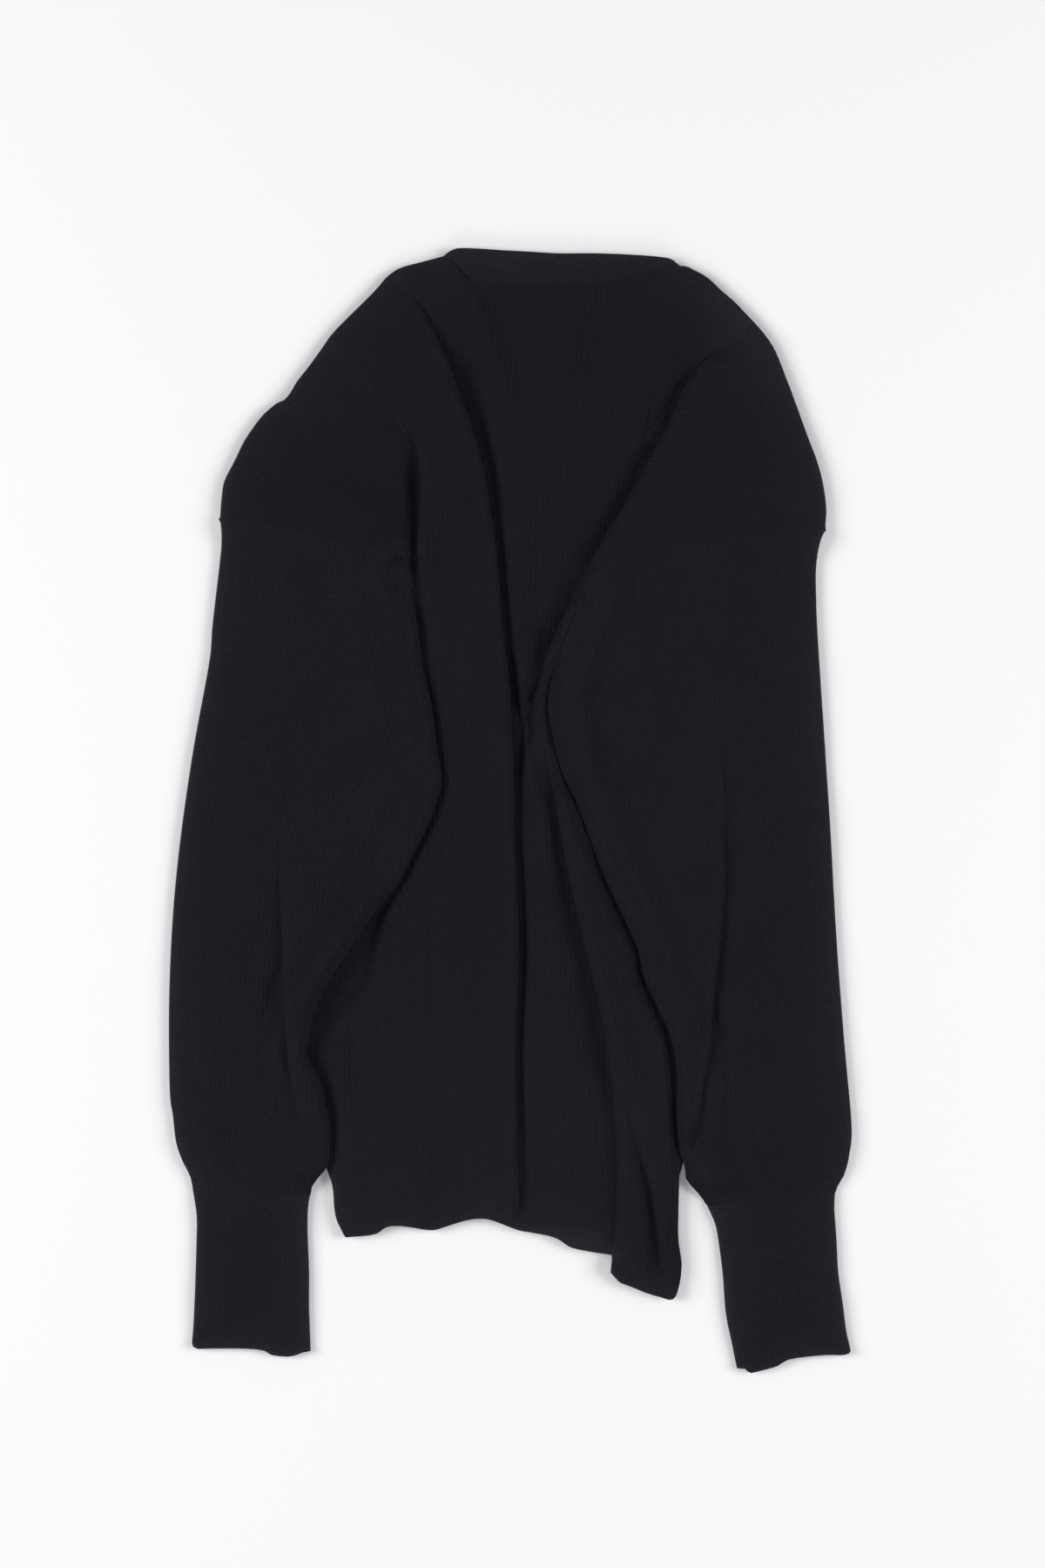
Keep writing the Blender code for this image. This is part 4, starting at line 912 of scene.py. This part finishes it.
def upper_side(loop, form, ribs, rows):
    """Points, faces and rib marks of a ribbed upper side, and its points along the outline."""
    lines = [run for _, _, run in ribs] + rows
    places, faces, origins = triangulate(loop, lines)
    count = len(loop) + sum(map(len, lines))
    family, number, along = rib_marks(origins, len(loop), ribs, count)
    shift, z, relief = form(places)
    xyz = np.column_stack([places + shift, z])
    crests = np.cos(2 * math.pi * number) * (family >= 0)
    xyz += raised(xyz, faces, relief * RIB_RELIEF / 2 * crests)
    ring = [origins.index(i) for i in range(len(loop))]
    return xyz, faces, corner_marks(faces, family, number, along), ring


def underside(loop, floor):
    """Points and faces of a plain underside, and its points that lie just inside the outline."""
    places, faces, origins = triangulate(loop, [])
    ring = [origins.index(i) for i in range(len(loop))]
    xy = places.copy()
    xy[ring] += moved_ring(loop, UNDERCUT) - loop
    return np.column_stack([xy, floor(places)]), faces, ring


def sides_at(loop, lines, reach):
    """True for each side of the outline whose middle is within `reach` of one of the lines."""
    middles = (loop + np.roll(loop, -1, axis=0)) / 2
    near = np.zeros(len(loop), bool)
    for rows in lines:
        near |= gap_to(middles, rows) < reach
    return near


def side_faces(high, low, chosen):
    """Faces between two rings of points, on the chosen sides of the outline."""
    sides = np.column_stack([high, low, np.roll(low, -1), np.roll(high, -1)])
    return sides[chosen].tolist()


def shell(name, loop, form, floor, ribs, rows, material, outer, open_edges=(), mouths=()):
    """A surface over an outline: a ribbed upper side, a rounded rim and a plain underside."""
    upper, faces, marks, ring = upper_side(loop, form, ribs, rows)
    under, under_faces, under_ring = underside(loop, floor)
    under_ring = np.array(under_ring) + len(upper)
    polygons = faces.tolist() + (under_faces[:, ::-1] + len(upper)).tolist()
    left_open, mouth = sides_at(loop, open_edges, OPEN_NEAR), sides_at(loop, mouths, MOUTH_NEAR)
    polygons += side_faces(ring, under_ring, ~(left_open | mouth))
    points, rings = [upper, under], [ring]
    if mouths:
        inner, middle = moved_ring(loop, MOUTH_IN), floor(loop) + RIM
        for place, height in ((inner, MOUTH_HIGH), (inner, MOUTH_LOW), (loop, 0.0)):
            rings.append(np.arange(len(loop)) + sum(map(len, points)))
            points.append(np.column_stack([place, middle + height]))
        for high, low in zip(rings, rings[1:] + [under_ring]):
            polygons += side_faces(high, low, mouth)
    points = np.vstack(points)
    # The outer edges and the patches of painted light get painted sheen in the colour.
    return made(name, points, polygons, marks, painted_sheen_share(points[:, :2], outer), material)


# Share of painted sheen at this distance from an outer edge.
def painted_sheen_at(gap):
    return sum(share * np.exp(-gap / fade) for share, fade in PAINTED_SHEEN_FADES)


def painted_sheen_share(xy, outer):
    """Share of painted sheen in the colour: most at an outer edge of the garment, falling off inwards,
    and more in the patches of painted light.
    """
    rim = painted_sheen_at(np.min([gap_to(xy, rows) for rows in outer], axis=0))
    # Patches of painted light: painted highlights and painted brighter light.
    for x, y, radius, share in PAINTED_LIGHT_PATCHES:
        rim += share * bell(np.hypot(xy[:, 0] - x, xy[:, 1] - y), radius)
    return rim


def made(name, vertices, polygons, marks, rim, material):
    """A mesh object from points in millimetres, with the rib marks as its UV map."""
    data = bpy.data.meshes.new(name)
    data.from_pydata((vertices * MM).tolist(), [], polygons)
    data.validate()
    coordinates = np.zeros((len(data.loops), 2), np.float32)
    coordinates[:, 0] = PLAIN_MARK
    coordinates[:len(marks)] = marks
    data.uv_layers.new(name="ribs").data.foreach_set("uv", coordinates.ravel())
    # The 'rim' attribute holds the share of painted sheen that lightens the colour.
    rims = data.attributes.new("rim", "FLOAT", "POINT").data
    rims.foreach_set("value", rim.astype(np.float32))
    data.shade_smooth()
    data.materials.append(material)
    return placed(name, data)


def placed(name, data):
    """An object of this data, linked to the scene."""
    thing = bpy.data.objects.new(name, data)
    bpy.context.scene.collection.objects.link(thing)
    return thing


# ---- Neckband ----
BAND_WIDTH = 19.0
BAND_PITCH = 1.7
BAND_ROW = 1.6
BAND_STEP = 0.15  # its lower edge stands this far above the back
BAND_LAP = 2.0  # how far the strip's lower edge lies over the back
BAND_LAPPED = 0.9  # share of the way across from which it follows the back
BAND_TOP = (
    (-34, 354), (-21, 354), (-6, 353), (13, 352), (30, 351), (53, 351), (78, 350), (99, 348),
)
BAND_LOW = (
    (-21, 334.2), (-13, 333.7), (0, 333.1), (13, 332.9), (30, 333), (53, 333), (68, 334.2), (78, 337),
)
BAND_UPPER = BACK_TOP + 3.6
# The ends of the strip turn down beside the neck edge: outer x, y, inner x, y, upper side.
BAND_LEFT_END = (
    (-45.5, 345.0, -30.5, 330.5, WALL),
    (-43.8, 347.0, -28.0, 332.0, 4.2),
    (-41.0, 350.6, -24.4, 334.6, 6.3),
)
BAND_RIGHT_END = (
    (105.0, 345.0, 86.0, 337.8, 6.4),
    (110.0, 341.2, 92.0, 336.8, 4.2),
    (111.5, 339.5, 93.5, 335.0, WALL),
)
V_TIP = (33.0, 172.0)
V_TOP_LEFT = (-34.0, 330.0)
V_TOP_RIGHT = (100.0, 330.0)
V_ARM_ROWS = (
    (V_TOP_RIGHT, 0.95), (V_TOP_RIGHT, 0.45), (V_TOP_LEFT, 0.0), (V_TOP_LEFT, 0.45),
    (V_TOP_LEFT, 0.95),
)
# Cross-section: share of the way from the outer edge to the inner, share of the height.
BAND_SECTION = (
    (0.0, 0.5), (0.015, 0.78), (0.05, 0.95), (0.10, 1.03), (0.25, 1.08), (0.45, 1.08), (0.65, 1.05),
    (0.82, 1.02), (0.93, 1.0), (0.965, 1.0), (1.0, 1.0), (0.98, 0.2), (0.93, 0.0), (0.5, 0.0),
    (0.07, 0.0), (0.02, 0.2),
)


def v_arm(top, share):
    """Outer and inner place on one arm of the V, from its tip at 0 to its top at 1."""
    along = np.subtract(top, V_TIP)
    along /= np.hypot(*along)
    inwards = np.array([along[1], -along[0]]) * -np.sign(along[0])
    outer = np.add(V_TIP, np.subtract(top, V_TIP) * share)
    if share == 0:
        return outer, outer + (0.0, BAND_WIDTH / abs(along[0]))
    return outer, outer + inwards * BAND_WIDTH


def band_stations():
    """Sections of the strip all round: outer x, y, inner x, y, underside, upper side."""
    rows = [end[:4] + (0.0, end[4]) for end in BAND_LEFT_END[1:]]
    for outer, inner in zip(BAND_TOP, BAND_LOW):
        rows.append(outer + inner + (BACK_FLOOR, BAND_UPPER))
    rows += [end[:4] + (0.0, end[4]) for end in BAND_RIGHT_END]
    visible = smooth(rows, BAND_ROW)
    visible[:, 3] -= BAND_LAP
    arms = []
    for top, share in V_ARM_ROWS:
        outer, inner = v_arm(top, share)
        arms.append((*outer, *inner, 0.0, WALL))
    arms.append(BAND_LEFT_END[0][:4] + (0.0, WALL))
    return np.vstack([visible, np.array(arms)])


def neckband(material):
    """A strip round the neck: across the back above and down the V beneath."""
    stations = band_stations()
    share, up = np.array(BAND_SECTION).T
    outer, inner = stations[:, None, :2], stations[:, None, 2:4]
    low, high = stations[:, 4, None], stations[:, 5, None]
    xy = outer + (inner - outer) * share[:, None]
    z = low + (high - low) * up
    lapped = (share > BAND_LAPPED) & (up > 0.5)
    for i in np.flatnonzero(stations[:, 4] > 0):
        z[i, lapped] = back_form(xy[i, lapped])[1] + BAND_STEP
    grid = np.concatenate([xy, z[..., None]], axis=2)
    rows, columns = grid.shape[:2]
    along = np.concatenate([[0.0], np.cumsum(np.hypot(*np.diff(stations[:, :2], axis=0).T))])
    polygons, marks = [], []
    for i in range(rows):
        j = (i + 1) % rows
        for k in range(columns):
            m = (k + 1) % columns
            polygons.append((i * columns + k, i * columns + m, j * columns + m, j * columns + k))
            end = along[j] if j else along[i]
            wide = [s * BAND_WIDTH for s in (share[k], share[m], share[m], share[k])]
            marks.extend(zip((along[i], along[i], end, end), wide))
    marks = np.array(marks)
    marks[:, 0] /= BAND_PITCH
    # Painted sheen along the strip's outer edge.
    rim = np.tile(painted_sheen_at(share * BAND_WIDTH), rows)
    return made("neckband_shell", grid.reshape(-1, 3), polygons, marks, rim, material)


# ---- Front panel ----
FRONT_INSET = 1.6
V_NOTCH = ((-39.4, 346), V_TOP_LEFT, V_TIP, V_TOP_RIGHT, (105.9, 340.5))


def front_outline():
    """The back's outline drawn in a little, with the V in place of the neck edge."""
    drawn = moved_ring(loop_of(*BODY_EDGES, step=FRONT_STEP), -FRONT_INSET)
    notch = moved(np.array(V_NOTCH, float), -2 * SEAM_GAP)
    return np.vstack([notch, drawn[1:-1]])[::-1]


def front_form(xy):
    rim = np.abs(beside(xy, closed(front_outline()))[0])
    z = RIM + (WALL - RIM) * rounding(rim, CLOTH_ROUND)
    return np.zeros((len(xy), 2)), z, np.ones(len(xy))


# ---- Materials ----
BASE = (0.0118, 0.0112, 0.0151)
# The sleeves and cuffs have the body's colour made a little lighter: painted light for the brighter light
# on them.
SLEEVE_BASE_PAINTED_LIGHT = (0.0122, 0.0116, 0.0154)
CUFF_BASE_PAINTED_LIGHT = (0.0121, 0.0115, 0.0153)
BAND_BASE = (0.0123, 0.0118, 0.0154)
KNIT_SURFACE = {
    "Roughness": 0.95,
    "Specular IOR Level": 0.03,
    "Sheen Weight": 0.05,
    "Sheen Roughness": 0.3,
    "Sheen Tint": (0.93, 0.92, 1.0, 1.0),
}
FLOOR_SURFACE = {
    "Base Color": (0.93, 0.93, 0.94, 1.0),
    "Roughness": 1.0,
    "Specular IOR Level": 0.0,
}
# Noises of the yarn: scale, detail, roughness.
FINE_DYE = (900.0, 3.0, 0.65)
BROAD_DYE = (28.0, 2.0, 0.5)
YARN_NAP = (1500.0, 4.0, 0.7)
FINE_SHARE = 0.87  # of the fine dye in the mix of the two
DYE_RAMP = ((0.28, 0.62), (0.74, 1.42))  # place in the mix, share of the base colour
PAINTED_RIM_SHEEN = 1.05  # painted sheen: the colour is lightened by this much times its share
NAP_HEIGHT = 1.1
BUMP_STRENGTH = 0.55
BUMP_DISTANCE = 0.4 * MM
RIB_MIDDLE = 0.35  # hollow along a rib's middle, beside the height of its stitches


def nodes_of(material):
    """The material's node tree and its shader."""
    material.use_nodes = True
    tree = material.node_tree
    return tree, next(n for n in tree.nodes if n.type == "BSDF_PRINCIPLED")


def set_inputs(node, values):
    for socket, value in values.items():
        node.inputs[socket].default_value = value


def math_node(tree, operation, first, second=None):
    node = tree.nodes.new("ShaderNodeMath")
    node.operation = operation
    for socket, value in zip(node.inputs, (first, second)):
        if isinstance(value, (int, float)):
            socket.default_value = value
        elif value is not None:
            tree.links.new(value, socket)
    return node.outputs[0]


def noise_node(tree, scale, detail, roughness):
    place = tree.nodes.new("ShaderNodeTexCoord")
    node = tree.nodes.new("ShaderNodeTexNoise")
    set_inputs(node, {"Scale": scale, "Detail": detail, "Roughness": roughness})
    tree.links.new(place.outputs["Object"], node.inputs["Vector"])
    return node.outputs["Fac"]


def stitch_height(tree, course, slope):
    """Height of the stitches: two legs of each loop lean out from the middle of a rib."""
    place = tree.nodes.new("ShaderNodeUVMap")
    place.uv_map = "ribs"
    split = tree.nodes.new("ShaderNodeSeparateXYZ")
    tree.links.new(place.outputs[0], split.inputs[0])
    rib, length = split.outputs[0], split.outputs[1]
    shifted = math_node(tree, "ADD", rib, 0.5)
    across = math_node(tree, "SUBTRACT", math_node(tree, "FRACT", shifted), 0.5)
    lean = math_node(tree, "MULTIPLY", math_node(tree, "ABSOLUTE", across), slope)
    turns = math_node(tree, "SUBTRACT", math_node(tree, "DIVIDE", length, course), lean)
    wave = math_node(tree, "SINE", math_node(tree, "MULTIPLY", turns, 2 * math.pi))
    middle = math_node(tree, "COSINE", math_node(tree, "MULTIPLY", across, 4 * math.pi))
    return math_node(tree, "SUBTRACT", wave, math_node(tree, "MULTIPLY", middle, RIB_MIDDLE))


def dye_and_painted_sheen(tree, base):
    """Colour of the yarn: an uneven dye, with painted sheen that lightens it along the outer edges and in
    patches.
    """
    fine = math_node(tree, "MULTIPLY", noise_node(tree, *FINE_DYE), FINE_SHARE)
    broad = math_node(tree, "MULTIPLY", noise_node(tree, *BROAD_DYE), 1 - FINE_SHARE)
    ramp = tree.nodes.new("ShaderNodeValToRGB")
    for element, (place, share) in zip(ramp.color_ramp.elements, DYE_RAMP):
        element.position = place
        element.color = (*[c * share for c in base], 1.0)
    tree.links.new(math_node(tree, "ADD", fine, broad), ramp.inputs[0])
    # Painted sheen: the 'rim' share makes the colour lighter.
    rim = tree.nodes.new("ShaderNodeAttribute")
    rim.attribute_name = "rim"
    painted_sheen = math_node(tree, "MULTIPLY", rim.outputs["Fac"], PAINTED_RIM_SHEEN)
    scaled = tree.nodes.new("ShaderNodeVectorMath")
    scaled.operation = "SCALE"
    tree.links.new(ramp.outputs[0], scaled.inputs[0])
    tree.links.new(math_node(tree, "ADD", painted_sheen, 1.0), scaled.inputs["Scale"])
    return scaled.outputs[0]


def knit_material(name, base, course=COURSE, slope=1.6, stitch=0.35):
    """Soft near-black yarn: uneven dye with painted sheen at the outer edges, stitches and a short fuzz.
    """
    material = bpy.data.materials.new(name)
    tree, shader = nodes_of(material)
    set_inputs(shader, KNIT_SURFACE)
    tree.links.new(dye_and_painted_sheen(tree, base), shader.inputs["Base Color"])
    stitches = math_node(tree, "MULTIPLY", stitch_height(tree, course, slope), stitch)
    fuzz = math_node(tree, "MULTIPLY", noise_node(tree, *YARN_NAP), NAP_HEIGHT)
    bump = tree.nodes.new("ShaderNodeBump")
    set_inputs(bump, {"Strength": BUMP_STRENGTH, "Distance": BUMP_DISTANCE})
    tree.links.new(math_node(tree, "ADD", stitches, fuzz), bump.inputs["Height"])
    tree.links.new(bump.outputs[0], shader.inputs["Normal"])
    return material


def floor_material():
    material = bpy.data.materials.new("floor")
    set_inputs(nodes_of(material)[1], FLOOR_SURFACE)
    return material


# ---- Stage, in metres ----
FLOOR_HALF = 6.0
FLOOR_Z = -0.0004
WORLD_COLOUR = (0.98, 0.985, 1.0, 1.0)
WORLD_LIGHT = 0.20
SOFTBOX_SIZE = 1.5
# Square lights aimed at the middle of the garment: place, power.
SOFTBOXES = {
    "left": ((-2.4, 0.30, 1.75), 63.0),
    "right": ((2.4, 0.20, 1.75), 53.0),
    "front": ((0.0, -2.4, 1.75), 18.0),
}


def add_camera():
    data = bpy.data.cameras.new("camera")
    data.lens = LENS
    data.sensor_width = SENSOR
    data.sensor_fit = "AUTO"
    camera = placed("camera", data)
    camera.location = [value * MM for value in EYE]
    bpy.context.scene.camera = camera


def add_floor():
    data = bpy.data.meshes.new("floor")
    signs = ((-1, -1), (1, -1), (1, 1), (-1, 1))
    corners = [(x * FLOOR_HALF, y * FLOOR_HALF, FLOOR_Z) for x, y in signs]
    data.from_pydata(corners, [], [(0, 1, 2, 3)])
    data.materials.append(floor_material())
    placed("floor", data)


def add_lights():
    world = bpy.data.worlds.new("studio")
    world.use_nodes = True
    background = next(n for n in world.node_tree.nodes if n.type == "BACKGROUND")
    set_inputs(background, {"Color": WORLD_COLOUR, "Strength": WORLD_LIGHT})
    bpy.context.scene.world = world
    for name, (place, power) in SOFTBOXES.items():
        data = bpy.data.lights.new(name, "AREA")
        data.shape = "SQUARE"
        data.size = SOFTBOX_SIZE
        data.energy = power
        light = placed(name, data)
        light.location = place
        light.rotation_euler = (-Vector(place)).to_track_quat("-Z", "Y").to_euler()


# ---- Pieces ----
TURNS = {"left": 1, "right": -1}
# For each side: outer edge, inner edge, armhole seam and outline.
SLEEVES = {
    "left": (SLEEVE_LEFT_OUTER, SLEEVE_LEFT_INNER, SEAM_LEFT, sleeve_left_outline),
    "right": (SLEEVE_RIGHT_OUTER, SLEEVE_RIGHT_INNER, SEAM_RIGHT, sleeve_right_outline),
}
# For each side: outer edge, inner edge and hem.
CUFFS = {
    "left": (CUFF_LEFT_OUTER, CUFF_LEFT_INNER, CUFF_LEFT_HEM),
    "right": (CUFF_RIGHT_OUTER, CUFF_RIGHT_INNER, CUFF_RIGHT_HEM),
}
SLEEVE_SEED, CUFF_SEED = 11, 21


def finish_piece(piece, node):
    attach(piece, "root")
    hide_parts(node)


def level(height):
    return lambda xy: np.full(len(xy), height)


def add_sleeve(side, material):
    outer, inner, seam, outline = SLEEVES[side]
    turn, loop = TURNS[side], outline(OUTLINE_STEP)
    floor = sleeve_floor(inner, SLEEVE_FOOT[side])
    form = sleeve_form(outer, inner, turn, floor, seam, SLEEVE_CREASES[side], SLEEVE_GROOVES[side],
                       SLEEVE_SEED + turn)
    ribs = sleeve_ribs(outer, inner, outline(COARSE_STEP), SLEEVE_LEAN[side])
    return shell(f"sleeve_{side}_shell", loop, form, floor, ribs, rim_rows(loop), material, (outer,),
                 open_edges=(tucked(seam), (outer[-1], inner[-1])))


def add_cuff(side, material):
    outer, inner, hem = CUFFS[side]
    outer = tucked(outer[:1], CUFF_TUCK) + outer[1:]
    inner = tucked(inner[:1], CUFF_TUCK) + inner[1:]
    seam = (outer[0], inner[0])
    edges = (outer, hem, turned(inner), turned(seam))
    if side == "right":
        edges = (turned(outer), seam, inner, turned(hem))
    loop = loop_of(*edges, step=OUTLINE_STEP)
    form = cuff_form(outer, inner, TURNS[side], hem, CUFF_SEED + TURNS[side])
    ribs = cuff_ribs(outer, inner, loop_of(*edges, step=COARSE_STEP))
    return shell(f"cuff_{side}_shell", loop, form, level(0.0), ribs, rim_rows(loop), material,
                 (outer, inner, hem), open_edges=(seam,), mouths=(hem,))


def main():
    bpy.context.scene.view_settings.view_transform = "Standard"
    add_camera()
    add_floor()
    add_lights()
    body = knit_material("body_knit", BASE)
    # The sleeve and cuff knits are lighter copies of the body's colour, painted light.
    sleeves = knit_material("sleeve_knit", SLEEVE_BASE_PAINTED_LIGHT)
    cuffs = knit_material("cuff_knit", CUFF_BASE_PAINTED_LIGHT)
    band = knit_material("band_knit", BAND_BASE, course=1.5, slope=1.0, stitch=0.25)

    loop = back_outline(OUTLINE_STEP)
    back = shell("back_shell", loop, back_form, level(BACK_FLOOR), back_ribs(),
                 rim_rows(loop) + fold_rows(), body, BACK_OUTER)
    finish_piece(back, "back_panel")

    loop = front_outline()
    rows = rim_rows(loop, RIM_LINES[1:])
    front = shell("front_shell", loop, front_form, level(0.0), [], rows, body, BACK_OUTER)
    finish_piece(front, "front_panel")

    piece = neckband(band)
    finish_piece(piece, "neckband")

    for side, flat, area in (("left", (0.30, 0.42), 0.115), ("right", (0.32, 0.42), 0.125)):
        piece = add_sleeve(side, sleeves)
        finish_piece(piece, f"sleeve_{side}")
    for side, flat in (("left", (0.150, 0.100)), ("right", (0.150, 0.106))):
        finish_piece(add_cuff(side, cuffs), f"cuff_{side}")


main()
